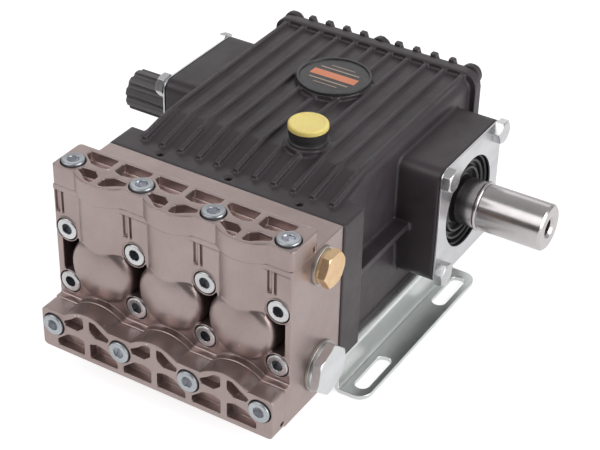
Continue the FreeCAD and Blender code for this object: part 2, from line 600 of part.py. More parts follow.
def make_crankcase():
    body = new_body("crankcase")
    section = new_sketch(body, "XZ_Plane", "section")
    side_top = "sizes.case_top - sizes.shoulder"
    outline(section, [
        ("sizes.wall_foot", "-sizes.case_bottom"),
        ("sizes.upper_half", "sizes.ledge_top"),
        ("sizes.upper_half", side_top, "sizes.shoulder"),
        ("sizes.upper_half - sizes.shoulder", "sizes.case_top"),
        ("-sizes.upper_half + sizes.shoulder", "sizes.case_top", "sizes.shoulder"),
        ("-sizes.upper_half", side_top),
        ("-sizes.upper_half", "sizes.ledge_top"),
        ("-sizes.wall_foot", "-sizes.case_bottom"),
    ])
    pad(body, section, "sizes.case_back", flip=True)

    slope = new_sketch(body, "YZ_Plane", "slope")
    above = "sizes.case_top + sizes.past"
    outline(slope, [
        ("-sizes.past", "sizes.flange_top"),
        ("sizes.slope_from", "sizes.flange_top"),
        ("sizes.slope_to", "sizes.slope_top"),
        ("sizes.case_back", "sizes.case_top"),
        ("sizes.case_back", above),
        ("-sizes.past", above),
    ])
    pocket(body, slope, f"3 * {FLANGE_HALF}", middle=True)

    flange = new_sketch(body, "XZ_Plane", "flange")
    rectangle(flange, f"-{FLANGE_HALF}", FLANGE_HALF, "-sizes.case_bottom", "sizes.flange_top")
    pad(body, flange, "sizes.flange_thick", flip=True)

    ledges = new_sketch(body, "XZ_Plane", "ledges")
    rectangle(ledges, "-sizes.ledge_out", "sizes.ledge_out",
              "sizes.ledge_top - sizes.ledge_thick", "sizes.ledge_top")
    pad(body, ledges, "sizes.case_back", flip=True)

    rim = new_sketch(body, "XZ_Plane", "rim", offset="-sizes.case_back")
    soft_rectangle(rim, "-sizes.rim_half", "sizes.rim_half", "-sizes.case_bottom",
                   "sizes.rim_top", "sizes.rim_corner")
    pad(body, rim, "sizes.rim_thick", flip=True)

    bosses = new_sketch(body, "YZ_Plane", "bosses")
    boss_square(bosses)
    pad(body, bosses, "2 * sizes.boss_reach", middle=True)

    ribs = new_sketch(body, "YZ_Plane", "rib", offset="-sizes.rib_pitch * (sizes.rib_count - 1) / 2")
    rise = "(sizes.rib_bend - sizes.nose_high) / (sizes.slope_to - sizes.nose_y)"
    outline(ribs, [
        ("sizes.nose_y", "sizes.flange_top - sizes.past"),
        ("sizes.case_back + sizes.past", "sizes.flange_top - sizes.past"),
        ("sizes.case_back + sizes.past", "sizes.rib_high"),
        ("sizes.bend_to", "sizes.rib_bend + (sizes.bend_to - sizes.slope_to) * "
         "(sizes.rib_high - sizes.rib_bend) / (sizes.case_back - sizes.slope_to)"),
        ("sizes.bend_from", f"sizes.rib_bend - (sizes.slope_to - sizes.bend_from) * {rise}"),
        ("sizes.nose_y", "sizes.nose_high"),
    ])
    rib = pad(body, ribs, "sizes.rib_width", middle=True)
    repeat(body, rib, "X_Axis", "sizes.rib_pitch * (sizes.rib_count - 1)", "sizes.rib_count")

    disc = new_sketch(body, "XY_Plane", "badge_seat", offset="sizes.flange_top")
    circle(disc, "0", "sizes.badge_y", "sizes.badge_radius")
    pad(body, disc, "sizes.badge_seat - sizes.flange_top")
    neck_seat = new_sketch(body, "XY_Plane", "neck_seat", offset="sizes.flange_top")
    circle(neck_seat, "sizes.oil_x", "sizes.oil_y", "sizes.pad_radius")
    pad(body, neck_seat, "sizes.pad_top - sizes.flange_top")

    bore = new_sketch(body, "YZ_Plane", "core")
    circle(bore, "sizes.shaft_y", "0", "sizes.shaft_radius + sizes.core_clear")
    pocket(body, bore, "2 * sizes.boss_reach + sizes.past", middle=True)
    for name, offset, flip in (("right", "sizes.boss_reach", False),
                               ("left", "-sizes.boss_reach", True)):
        seat = new_sketch(body, "YZ_Plane", f"seat_{name}", offset=offset)
        circle(seat, "sizes.shaft_y", "0", "sizes.bearing_radius")
        pocket(body, seat, "sizes.boss_reach - sizes.bearing_in", flip=flip)
        taps = new_sketch(body, "YZ_Plane", f"taps_{name}", offset=offset)
        for y, z in plate_bolt_spots():
            circle(taps, y, z, "sizes.bolt_radius + sizes.thread_fit")
        pocket(body, taps, "sizes.plate_bolt_long + sizes.tap_spare", flip=flip)

    front = new_sketch(body, "XZ_Plane", "front_taps")
    for line in SCREW_LINES:
        for level in ("sizes.upper_screw", "-sizes.lower_screw"):
            circle(front, line, level, "sizes.bolt_radius + sizes.thread_fit")
    pocket(body, front, "sizes.front_bolt - sizes.head_front + sizes.front_sink + sizes.tap_spare")

    back = new_sketch(body, "XZ_Plane", "back_taps", offset=f"-{BACK_FACE}")
    for x, z in lobe_spots():
        circle(back, x, z, "sizes.small_bolt_radius + sizes.thread_fit")
    pocket(body, back, "sizes.small_bolt_long - sizes.lobe_thick + sizes.tap_spare", flip=True)

    under = new_sketch(body, "XY_Plane", "under_taps", offset="-sizes.case_bottom")
    for side in (1, -1):
        for x, y in rail_bolt_spots(side):
            circle(under, x, y, "sizes.bolt_radius + sizes.thread_fit")
    pocket(body, under, "sizes.rail_bolt_long - sizes.rail_plate + sizes.tap_spare", flip=True)

    filler = new_sketch(body, "XY_Plane", "filler", offset="sizes.pad_top")
    circle(filler, "sizes.oil_x", "sizes.oil_y", "sizes.neck_hole + sizes.thread_fit")
    pocket(body, filler, "sizes.pad_top - sizes.neck_bottom + sizes.tap_spare")

    jets = new_sketch(body, "XY_Plane", "jets", offset="sizes.flange_top")
    for centre in CYLINDERS:
        circle(jets, centre, "sizes.jet_y", "sizes.jet_radius")
    pocket(body, jets, "sizes.jet_deep")


def plate_bolt_spots():
    spots = []
    for y_side in ("-", "+"):
        for z_side in ("-", ""):
            spots.append((f"sizes.shaft_y {y_side} sizes.plate_bolt", f"{z_side}sizes.plate_bolt"))
    return spots


# Bearings, seals and bright plates, one of each on either side

def ring_piece(label, offset, outer, inner, length, flip):
    body = new_body(label)
    section = new_sketch(body, "YZ_Plane", "section", offset=offset)
    circle(section, "sizes.shaft_y", "0", outer)
    circle(section, "sizes.shaft_y", "0", inner)
    pad(body, section, length, flip=flip)


def make_side(name, side):
    flip = side < 0
    sign = "-" if flip else ""
    ring_piece(f"bearing_{name}", f"{sign}sizes.bearing_in",
               "sizes.bearing_radius - sizes.race_fit", "sizes.shaft_radius + sizes.run_fit",
               "sizes.bearing_wide", flip)
    ring_piece(f"oil_seal_{name}", f"{sign}(sizes.boss_reach - sizes.seal_sunk - sizes.seal_wide)",
               "sizes.bearing_radius - sizes.race_fit", "sizes.shaft_radius + sizes.run_fit",
               "sizes.seal_wide", flip)
    plate = new_body(f"bearing_cover_{name}")
    face = new_sketch(plate, "YZ_Plane", "face", offset=f"{sign}sizes.boss_reach")
    boss_square(face)
    circle(face, "sizes.shaft_y", "0", "sizes.plate_bore")
    for y, z in plate_bolt_spots():
        circle(face, y, z, "sizes.bolt_hole")
    pad(plate, face, "sizes.plate_thick", flip=flip)
    seat = f"{sign}{PLATE_FACE}"
    make_screws(f"bearing_bolts_{name}", "YZ_Plane", seat, plate_bolt_spots(),
                "sizes.plate_bolt_long", flip=flip, hexed=True)


# Rear cover with upright fins, its screws, the oil window and the drain plug

def lobe_spots():
    spots = []
    for z in ("sizes.lobe_z", "-sizes.lobe_z"):
        for x in ("-sizes.lobe_x", "0", "sizes.lobe_x"):
            spots.append((x, z))
    return spots


def make_rear_cover():
    body = new_body("rear_cover")
    plate = new_sketch(body, "XZ_Plane", "plate", offset=f"-{BACK_FACE}")
    soft_rectangle(plate, "-sizes.back_half", "sizes.back_half", "-sizes.back_bottom",
                   "sizes.back_top", "sizes.back_corner")
    pad(body, plate, "sizes.back_thick", flip=True)
    core = new_sketch(body, "XZ_Plane", "core", offset=f"-{BACK_FACE}")
    soft_rectangle(core, "-sizes.core_half", "sizes.core_half", "-sizes.core_high",
                   "sizes.core_high", "sizes.core_corner")
    pad(body, core, "sizes.core_thick", flip=True)

    lobes = new_sketch(body, "XZ_Plane", "lobes", offset=f"-{BACK_FACE}")
    for x, z in lobe_spots():
        circle(lobes, x, z, "sizes.lobe_radius")
    pad(body, lobes, "sizes.lobe_thick", flip=True)

    step = "sizes.rib_pitch * (sizes.fin_count - 1)"
    fins = new_sketch(body, "YZ_Plane", "fin", offset=f"-{step} / 2")
    deep = f"{BACK_FACE} + sizes.fin_deep"
    outline(fins, [
        (BACK_FACE, "-sizes.fin_bottom"),
        (f"{BACK_FACE} + sizes.back_thick", "-sizes.fin_bottom"),
        (deep, "-sizes.fin_bottom + sizes.fin_drop"),
        (deep, "sizes.fin_top - sizes.fin_drop"),
        (f"{BACK_FACE} + sizes.back_thick", "sizes.fin_top"),
        (BACK_FACE, "sizes.fin_top"),
    ])
    fin = pad(body, fins, "sizes.fin_width", middle=True)
    repeat(body, fin, "X_Axis", step, "sizes.fin_count")

    rounds = new_sketch(body, "XZ_Plane", "rounds", offset=f"-{BACK_FACE}")
    circle(rounds, "0", "sizes.glass_z", "sizes.glass_boss")
    circle(rounds, "0", "-sizes.drain_z", "sizes.drain_boss")
    pad(body, rounds, f"{BOSS_FACE} - {BACK_FACE}", flip=True)

    clear = new_sketch(body, "XZ_Plane", "clear", offset=f"-({BOSS_FACE} + sizes.past)")
    drills = new_sketch(body, "XZ_Plane", "drills", offset=f"-({BOSS_FACE} + sizes.past)")
    for x, z in lobe_spots():
        circle(clear, x, z, "sizes.small_head_radius + sizes.small_room")
        circle(drills, x, z, "sizes.small_bolt_radius + sizes.thread_fit")
    pocket(body, clear, f"{BOSS_FACE} + sizes.past - {BACK_FACE} - sizes.lobe_thick", flip=True)
    pocket(body, drills, f"{BOSS_FACE} + 2 * sizes.past - {BACK_FACE}", flip=True)

    window = new_sketch(body, "XZ_Plane", "window", offset=f"-{BOSS_FACE}")
    circle(window, "0", "sizes.glass_z", "sizes.glass_radius")
    pocket(body, window, "sizes.glass_sunk", flip=True)
    drain = new_sketch(body, "XZ_Plane", "drain", offset=f"-{BOSS_FACE}")
    circle(drain, "0", "-sizes.drain_z", "sizes.drain_thread + sizes.port_fit")
    pocket(body, drain, "sizes.drain_depth", flip=True)

    seat = f"-({BACK_FACE} + sizes.lobe_thick)"
    make_screws("rear_cover_screws", "XZ_Plane", seat, lobe_spots(), "sizes.small_bolt_long",
                flip=True, small=True)

    glass = new_body("sight_glass")
    pane = new_sketch(glass, "XZ_Plane", "pane", offset=f"-({BOSS_FACE} - sizes.glass_sunk)")
    circle(pane, "0", "sizes.glass_z", "sizes.glass_radius - sizes.port_fit")
    pad(glass, pane, "sizes.glass_sunk", flip=True)
    rim = new_body("sight_glass_rim")
    ring = new_sketch(rim, "XZ_Plane", "ring", offset=f"-{BOSS_FACE}")
    circle(ring, "0", "sizes.glass_z", "sizes.glass_rim")
    circle(ring, "0", "sizes.glass_z", "sizes.glass_radius - sizes.glass_proud")
    pad(rim, ring, "sizes.glass_thick", flip=True)

    plug = new_body("drain_plug")
    head = new_sketch(plug, "XZ_Plane", "head", offset=f"-{BOSS_FACE}")
    hexagon(head, "0", "-sizes.drain_z", "sizes.drain_flats")
    pad(plug, head, "sizes.drain_high", flip=True)
    stem = new_sketch(plug, "XZ_Plane", "stem", offset=f"-{BOSS_FACE}")
    circle(stem, "0", "-sizes.drain_z", "sizes.drain_thread")
    pad(plug, stem, "sizes.drain_length")


# Oil filler and badge on top of the crankcase

def disc_piece(label, x, y, radius, base, height, stem=None):
    body = new_body(label)
    section = new_sketch(body, "XY_Plane", "section", offset=base)
    circle(section, x, y, radius)
    pad(body, section, height)
    if stem:
        below = new_sketch(body, "XY_Plane", "stem", offset=base)
        circle(below, x, y, stem[0])
        pad(body, below, stem[1], flip=True)


def make_top_fittings():
    disc_piece("oil_cap_neck", "sizes.oil_x", "sizes.oil_y", "sizes.neck_radius", "sizes.pad_top",
               "sizes.neck_top - sizes.pad_top",
               ("sizes.neck_hole", "sizes.pad_top - sizes.neck_bottom"))
    disc_piece("oil_cap", "sizes.oil_x", "sizes.oil_y", "sizes.oil_radius", "sizes.neck_top",
               "sizes.oil_thick")
    disc_piece("badge", "0", "sizes.badge_y", "sizes.badge_radius", "sizes.badge_seat",
               "sizes.badge_thick")


# Mounting rails: bent plate with a flange under the crankcase and a slotted foot

def rail_bolt_spots(side):
    x = f"{side} * sizes.rail_bolt_x"
    return [(x, "sizes.rail_bolt_from"), (x, "sizes.rail_bolt_to")]


def lies_on(edge, spots):
    middle = edge.CenterOfMass
    return runs_along(edge, ALONG_Y) and any(
        abs(abs(middle.x) - x) < NEAR and abs(middle.z - z) < NEAR for x, z in spots)


def make_rail(name, side):
    body = new_body(f"rail_{name}")
    section = new_sketch(body, "XZ_Plane", "section", offset="-sizes.rail_from")
    top = "-sizes.case_bottom"
    floor = "-sizes.shaft_height"
    corners = [
        ("sizes.rail_inner", f"{top} - sizes.rail_plate"),
        ("sizes.rail_web - sizes.rail_plate", f"{top} - sizes.rail_plate"),
        ("sizes.rail_web - sizes.rail_plate", floor),
        ("sizes.rail_foot", floor),
        ("sizes.rail_foot", f"{floor} + sizes.rail_plate"),
        ("sizes.rail_web", f"{floor} + sizes.rail_plate"),
        ("sizes.rail_web", top),
        ("sizes.rail_inner", top),
    ]
    outline(section, [(f"{side} * ({x})", z) for x, z in corners])
    pad(body, section, "sizes.rail_to - sizes.rail_from", flip=True)
    round_edges(body, "sizes.rail_corner", lambda e: runs_along(e, ALONG_Z)
                and abs(e.CenterOfMass.x) > size("rail_foot") - BESIDE)
    web = size("rail_web")
    plate = size("rail_plate")
    bottom = -size("shaft_height")
    bends = ((web, -size("case_bottom")), (web - plate, bottom))
    round_edges(body, "sizes.rail_bend", lambda e: lies_on(e, bends))
    hollows = ((web, bottom + plate), (web - plate, -size("case_bottom") - plate))
    round_edges(body, "sizes.rail_bend - sizes.rail_plate", lambda e: lies_on(e, hollows))

    slots = new_sketch(body, "XY_Plane", "slots", offset=f"{floor} + sizes.rail_plate")
    for end in ("-", "+"):
        middle = f"(sizes.rail_from + sizes.rail_to) / 2 {end} sizes.slot_pitch / 2"
        slot(slots, f"{side} * sizes.slot_x", f"{middle} - sizes.slot_long / 2",
             f"{middle} + sizes.slot_long / 2", "sizes.slot_half")
    pocket(body, slots, "sizes.rail_plate")
    holes = new_sketch(body, "XY_Plane", "holes", offset=top)
    for x, y in rail_bolt_spots(side):
        circle(holes, x, y, "sizes.bolt_hole")
    pocket(body, holes, "sizes.rail_plate")
    make_screws(f"rail_screws_{name}", "XY_Plane", f"{top} - sizes.rail_plate",
                rail_bolt_spots(side), "sizes.rail_bolt_long", flip=True, hexed=True)


make_crankshaft()
make_shaft_cap()
make_head()
make_valve_cover("top_valve_cover", False)
make_valve_cover("bottom_valve_cover", True)
make_head_screws()
make_cover_screws()
make_plug("outlet", OUTLET_Z, OUTLET_TURN)
make_plug("inlet", INLET_Z, INLET_TURN)
make_crankcase()
make_side("right", 1)
make_side("left", -1)
make_rear_cover()
make_top_fittings()
make_rail("right", 1)
make_rail("left", -1)

doc.recompute()
failed = [item.Name for item in doc.Objects if {"Invalid", "Error"} & set(item.State)]
if failed:
    raise RuntimeError(f"these failed: {failed}")
for piece in pieces:
    if piece.Shape.isNull() or not piece.Shape.isValid():
        raise RuntimeError(f"{piece.Label} has no sound shape")

for piece in pieces:
    piece.Shape.exportStep(f"parts/{piece.Label}.step")
    box = piece.Shape.BoundBox
    print(f"{piece.Label}: {len(piece.Shape.Solids)} solids, {piece.Shape.Volume / 1000:.1f} cm3, "
          f"x {box.XMin:.1f} {box.XMax:.1f}, y {box.YMin:.1f} {box.YMax:.1f}, "
          f"z {box.ZMin:.1f} {box.ZMax:.1f}")
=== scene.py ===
import json
import math

import bmesh
import bpy
from mathutils import Matrix, Vector


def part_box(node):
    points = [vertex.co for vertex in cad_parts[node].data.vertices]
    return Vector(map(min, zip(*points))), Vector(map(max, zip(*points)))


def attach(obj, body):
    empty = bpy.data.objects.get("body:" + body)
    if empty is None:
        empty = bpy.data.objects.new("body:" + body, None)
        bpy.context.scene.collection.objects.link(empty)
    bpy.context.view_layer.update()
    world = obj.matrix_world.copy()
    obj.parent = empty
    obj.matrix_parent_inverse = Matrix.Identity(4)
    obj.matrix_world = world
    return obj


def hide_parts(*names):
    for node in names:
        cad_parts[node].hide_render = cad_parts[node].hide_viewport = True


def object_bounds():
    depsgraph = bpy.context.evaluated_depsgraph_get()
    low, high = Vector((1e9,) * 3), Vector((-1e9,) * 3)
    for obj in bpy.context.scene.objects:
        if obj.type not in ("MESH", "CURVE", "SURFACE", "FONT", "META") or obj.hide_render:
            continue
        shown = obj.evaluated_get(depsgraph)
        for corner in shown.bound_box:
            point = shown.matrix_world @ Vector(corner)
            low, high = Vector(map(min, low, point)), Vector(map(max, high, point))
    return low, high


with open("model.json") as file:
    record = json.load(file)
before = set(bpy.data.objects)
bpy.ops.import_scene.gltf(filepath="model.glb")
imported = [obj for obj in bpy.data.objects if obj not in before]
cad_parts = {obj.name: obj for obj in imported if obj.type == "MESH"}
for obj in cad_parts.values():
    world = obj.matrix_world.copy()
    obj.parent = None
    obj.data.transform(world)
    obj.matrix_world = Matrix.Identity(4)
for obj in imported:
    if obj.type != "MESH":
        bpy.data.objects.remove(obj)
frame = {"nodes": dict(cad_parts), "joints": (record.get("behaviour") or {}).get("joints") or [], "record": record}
cadLow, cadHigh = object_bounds()
nodes = frame["nodes"]
slotOf = {row["node"]: row["material_slot"] for row in frame["record"]["subparts"]}
bodyOf = {name: body for body, names in frame["record"]["behaviour"]["bodies"].items()
          for name in names}

mm = 0.001
right, back, upward = Vector((1, 0, 0)), Vector((0, 1, 0)), Vector((0, 0, 1))

# the pump is laid out from its shaft's axis, the head's middle and the head's joint face
headLow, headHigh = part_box("head")
shaftAxis = Vector(frame["joints"][0]["pos_m"])
middleX = (headLow.x + headHigh.x) / 2
jointFace = headHigh.y


def fromDatum(x, y, z):
    # millimetres from the head's middle, its joint face and the shaft's height
    return Vector((middleX + x * mm, jointFace + y * mm, shaftAxis.z + z * mm))


print("stage: camera")
view = {"azimuth": 30.826, "elevation": 34.162, "roll": 1.456, "lens": 97.64, "sensor": 36,
        "nearest": 0.05, "furthest": 20, "place": (416.895, -615.736, 517.389)}


def makeCamera():
    azimuth, elevation, roll = (math.radians(view[k]) for k in ("azimuth", "elevation", "roll"))
    ahead = Vector((-math.sin(azimuth) * math.cos(elevation),
                    math.cos(azimuth) * math.cos(elevation), -math.sin(elevation)))
    level = ahead.cross(upward).normalized()
    upright = level.cross(ahead)
    across = level * math.cos(roll) + upright * math.sin(roll)
    up = upright * math.cos(roll) - level * math.sin(roll)
    camera = bpy.data.objects.new("camera", bpy.data.cameras.new("camera"))
    camera.data.lens = view["lens"]
    camera.data.sensor_width = view["sensor"]
    camera.data.clip_start = view["nearest"]
    camera.data.clip_end = view["furthest"]
    turn = Matrix((across, up, -ahead)).transposed().to_4x4()
    camera.matrix_world = Matrix.Translation(fromDatum(*view["place"])) @ turn
    bpy.context.scene.collection.objects.link(camera)
    bpy.context.scene.camera = camera


makeCamera()

print("stage: floor and light")
white = (1, 1, 1, 1)
floorLook = {"size": 6.0, "colour": (0.45, 0.45, 0.45, 1), "rough": 0.85, "glow": 0.8,
             "mirrored": 0.56}
# the sky's strength runs along a direction, from its front end to its back end
skyLook = {"direct": 1.0, "front": 0.05, "back": 0.5, "way": (0, 0.6, 0.4), "frontEnd": -0.4,
           "backEnd": 0.75}
lamps = [
    # name, place in metres, power in watts, width, height
    ("leftLamp", (-1.1, -0.8, 1.1), 3.5, 0.9, 0.9),
    ("frontSoftbox", (-0.37, -0.95, 1.23), 6.0, 1.2, 1.1),
    ("backLamp", (-0.95, 1.35, 0.8), 2.5, 1.4, 0.8),
    ("rightLamp", (1.5, 0.0, 0.7), 17, 1.2, 1.2),
]
# where a Mix node keeps its two values and its result
mixPlaces = {"FLOAT": (2, 3, 0), "RGBA": (6, 7, 2)}


def combined(tree, operation, *values):
    # a Math node; each value is a number or another node's output
    node = tree.nodes.new("ShaderNodeMath")
    node.operation = operation
    for socket, value in zip(node.inputs, values):
        if isinstance(value, float):
            socket.default_value = value
        else:
            tree.links.new(value, socket)
    return node.outputs[0]


def rescaled(tree, value, low, high, fromLow, fromHigh):
    node = tree.nodes.new("ShaderNodeMapRange")
    for name, number in (("From Min", fromLow), ("From Max", fromHigh),
                         ("To Min", low), ("To Max", high)):
        node.inputs[name].default_value = number
    tree.links.new(value, node.inputs["Value"])
    return node.outputs[0]


def seenBy(tree, direct, mirrored):
    # one strength for camera rays, one for mirrored and see-through rays, none for the rest
    path = tree.nodes.new("ShaderNodeLightPath")
    either = combined(tree, "MAXIMUM", path.outputs["Is Glossy Ray"],
                      path.outputs["Is Transmission Ray"])
    faint = combined(tree, "MULTIPLY", either, mirrored)
    return combined(tree, "MULTIPLY_ADD", path.outputs["Is Camera Ray"], direct, faint)


def makeFloor():
    mesh = bpy.data.meshes.new("floor")
    work = bmesh.new()
    bmesh.ops.create_grid(work, x_segments=1, y_segments=1, size=floorLook["size"] / 2)
    work.to_mesh(mesh)
    work.free()
    floor = bpy.data.objects.new("floor", mesh)
    bpy.context.scene.collection.objects.link(floor)
    material = bpy.data.materials.new("pale floor")
    material.use_nodes = True
    tree = material.node_tree
    shader = tree.nodes["Principled BSDF"]
    shader.inputs["Base Color"].default_value = floorLook["colour"]
    shader.inputs["Roughness"].default_value = floorLook["rough"]
    shader.inputs["Emission Color"].default_value = white
    glow = seenBy(tree, floorLook["glow"], floorLook["mirrored"])
    tree.links.new(glow, shader.inputs["Emission Strength"])
    mesh.materials.append(material)


def makeSky():
    # white for the camera; for all other rays pale behind the object and darker in front of it
    world = bpy.data.worlds.new("studio")
    bpy.context.scene.world = world
    world.use_nodes = True
    tree = world.node_tree
    place = tree.nodes.new("ShaderNodeTexCoord")
    along = tree.nodes.new("ShaderNodeVectorMath")
    along.operation = "DOT_PRODUCT"
    along.inputs[1].default_value = skyLook["way"]
    tree.links.new(place.outputs["Generated"], along.inputs[0])
    ramp = rescaled(tree, along.outputs["Value"], skyLook["front"], skyLook["back"],
                    skyLook["frontEnd"], skyLook["backEnd"])
    path = tree.nodes.new("ShaderNodeLightPath")
    choice = tree.nodes.new("ShaderNodeMix")
    choice.data_type = "FLOAT"
    indirect, direct, strength = mixPlaces["FLOAT"]
    tree.links.new(path.outputs["Is Camera Ray"], choice.inputs[0])
    tree.links.new(ramp, choice.inputs[indirect])
    choice.inputs[direct].default_value = skyLook["direct"]
    sky = tree.nodes["Background"]
    sky.inputs["Color"].default_value = white
    tree.links.new(choice.outputs[strength], sky.inputs["Strength"])


def makeLamps():
    aim = (cadLow + cadHigh) / 2
    for name, place, power, width, height in lamps:
        lamp = bpy.data.lights.new(name, "AREA")
        lamp.shape = "RECTANGLE"
        lamp.size = width
        lamp.size_y = height
        lamp.energy = power
        holder = bpy.data.objects.new(name, lamp)
        holder.location = place
        holder.rotation_euler = (aim - Vector(place)).to_track_quat("-Z", "Y").to_euler()
        bpy.context.scene.collection.objects.link(holder)


makeFloor()
makeSky()
makeLamps()
bpy.context.scene.view_settings.view_transform = "Standard"

print("stage: finishes")
# grain is noise on Object coordinates, given as waves per metre and detail; a relief adds its
# whole height in millimetres; a band is an amount from and to, over a value from and to
grainRough = 0.6
grainBand = (0.3, 0.7)


class Finish:
    # one material, and short ways to lay out its nodes

    def __init__(self, name, colour, metal, rough):
        self.material = bpy.data.materials.new(name)
        self.material.use_nodes = True
        self.tree = self.material.node_tree
        self.shader = self.tree.nodes["Principled BSDF"]
        self.place = self.add("TexCoord")
        self.set("Base Color", (*colour, 1))
        self.set("Metallic", metal)
        self.set("Roughness", rough)

    def set(self, socket, value):
        self.shader.inputs[socket].default_value = value

    def add(self, kind, **settings):
        node = self.tree.nodes.new("ShaderNode" + kind)
        for key, value in settings.items():
            setattr(node, key, value)
        return node

    def link(self, start, end):
        self.tree.links.new(start, end)

    def grain(self, waves, detail, stretch=(1, 1, 1)):
        mapping = self.add("Mapping")
        mapping.inputs["Scale"].default_value = stretch
        self.link(self.place.outputs["Object"], mapping.inputs["Vector"])
        noise = self.add("TexNoise")
        noise.inputs["Scale"].default_value = waves
        noise.inputs["Detail"].default_value = detail
        noise.inputs["Roughness"].default_value = grainRough
        self.link(mapping.outputs[0], noise.inputs["Vector"])
        return noise.outputs["Fac"]

    def spread(self, value, low, high, fromLow=grainBand[0], fromHigh=grainBand[1]):
        return rescaled(self.tree, value, low, high, fromLow, fromHigh)

    def blend(self, amount, first, second):
        node = self.add("Mix", data_type="RGBA")
        self.link(amount, node.inputs["Factor"])
        *places, result = mixPlaces["RGBA"]
        for place, value in zip(places, (first, second)):
            if isinstance(value, tuple):
                node.inputs[place].default_value = (*value, 1)
            else:
                self.link(value, node.inputs[place])
        return node.outputs[result]

    def mottled(self, grain, first, second):
        return self.blend(self.spread(grain, 0, 1), first, second)

    def attribute(self, name):
        return self.add("Attribute", attribute_name=name).outputs["Fac"]

    def paint(self, colour):
        self.link(colour, self.shader.inputs["Base Color"])

    def sheen(self, grain, low, high):
        self.link(self.spread(grain, low, high), self.shader.inputs["Roughness"])

    def relief(self, *layers):
        # bumps one over the other, the first one at the bottom
        under = None
        for waves, detail, deep in layers:
            node = self.add("Bump")
            node.inputs["Strength"].default_value = 1
            node.inputs["Distance"].default_value = deep * mm
            self.link(self.grain(waves, detail), node.inputs["Height"])
            if under is not None:
                self.link(under, node.inputs["Normal"])
            under = node.outputs[0]
        self.link(under, self.shader.inputs["Normal"])


nickelLook = {"dark": (0.412, 0.322, 0.308), "pale": (0.472, 0.386, 0.372), "patches": (28, 3),
              "speck": (0.31, 0.235, 0.225), "specks": (900, 2), "speckBand": (0, 0.5, 0.6, 0.8),
              "paintedShade": (0.12, 0.088, 0.08), "paintedShadeBand": (0.7, 0, 0.38, 0.475),
              # the pale edge colour is a painted highlight, not wear
              "worn": (0.72, 0.63, 0.6), "paintedHighlightBand": (0, 0.75, 0.53, 0.64),
              "sheen": (120, 5), "rough": (0.28, 0.4),
              "fine": (1800, 3, 0.02), "broad": (260, 4, 0.03)}


def headNickel():
    # satin nickel over a cast skin, with patches and specks, painted shade in creases and recesses, and painted
    # highlights on its edges
    look = Finish("satin nickel", (0.42, 0.36, 0.34), 0.9, 0.42)
    colour = look.mottled(look.grain(*nickelLook["patches"]), nickelLook["dark"], nickelLook["pale"])
    specks = look.spread(look.grain(*nickelLook["specks"]), *nickelLook["speckBand"])
    colour = look.blend(specks, colour, nickelLook["speck"])
    bend = look.add("NewGeometry").outputs["Pointiness"]
    # darker where pointiness finds a crease or recess: painted shade
    colour = look.blend(look.spread(bend, *nickelLook["paintedShadeBand"]), colour, nickelLook["paintedShade"])
    # paler on convex edges: a painted highlight
    look.paint(look.blend(look.spread(bend, *nickelLook["paintedHighlightBand"]), colour, nickelLook["worn"]))
    look.sheen(look.grain(*nickelLook["sheen"]), *nickelLook["rough"])
    look.relief(nickelLook["fine"], nickelLook["broad"])
    return look.material


paintLook = {"dark": (0.039, 0.031, 0.036), "pale": (0.057, 0.046, 0.052), "patches": (22, 3),
             # the pale edge colour is a painted highlight on the rib edges, not wear
             "worn": (0.13, 0.12, 0.13), "paintedHighlightBand": (0, 0.6, 0.53, 0.62),
             "sheen": (90, 4), "rough": (0.36, 0.5),
             "fine": (1300, 3, 0.03), "broad": (170, 4, 0.1)}


def caseBlack():
    # satin black paint on a casting, with painted highlights along its edges
    look = Finish("satin black paint", (0.05, 0.045, 0.048), 0.0, 0.42)
    colour = look.mottled(look.grain(*paintLook["patches"]), paintLook["dark"], paintLook["pale"])
    bend = look.add("NewGeometry").outputs["Pointiness"]
    # paler on convex edges: painted highlight
    look.paint(look.blend(look.spread(bend, *paintLook["paintedHighlightBand"]), colour, paintLook["worn"]))
    look.sheen(look.grain(*paintLook["sheen"]), *paintLook["rough"])
    look.relief(paintLook["fine"], paintLook["broad"])
    return look.material


steelLook = {"dark": (0.575, 0.54, 0.545), "pale": (0.65, 0.615, 0.62), "patches": (60, 3),
             "rings": (900, 3), "ringStretch": (1, 0.02, 0.02), "rough": (0.21, 0.26)}


def groundSteel():
    # ground round the shaft, with hair-thin rings in its sheen
    look = Finish("ground steel", (0.62, 0.6, 0.6), 1.0, 0.2)
    look.paint(look.mottled(look.grain(*steelLook["patches"]), steelLook["dark"], steelLook["pale"]))
    look.sheen(look.grain(*steelLook["rings"], stretch=steelLook["ringStretch"]), *steelLook["rough"])
    return look.material


platingLook = {"metal": 0.95, "paler": 1.12, "darker": 0.86, "streakDetail": 4,
               "streakStretch": (1, 0.35, 1), "sheen": (110, 3),
               "roughChange": (-0.03, 0.04), "skin": (500, 2, 0.0005)}


def zincPlate(name, colour, rough, streaks=60, socket=(0.3, 0.31, 0.33)):
    # streaked plating; faces marked as lying in a screw's socket have a tone of their own, by default dark: partly
    # painted shade of the deep socket and partly its bare, oily metal
    look = Finish(name, colour, platingLook["metal"], rough)
    pale = tuple(min(1, c * platingLook["paler"]) for c in colour)
    dark = tuple(c * platingLook["darker"] for c in colour)
    streak = look.grain(streaks, platingLook["streakDetail"], platingLook["streakStretch"])
    streaked = look.mottled(streak, dark, pale)
    look.paint(look.blend(look.attribute("socket"), streaked, socket))
    look.sheen(look.grain(*platingLook["sheen"]), *(rough + c for c in platingLook["roughChange"]))
    look.relief(platingLook["skin"])
    return look.material


brassLook = {"dark": (0.8, 0.54, 0.3), "pale": (0.9, 0.66, 0.41), "patches": (150, 4),
             "sheen": (400, 3), "rough": (0.32, 0.44), "skin": (700, 2, 0.001)}


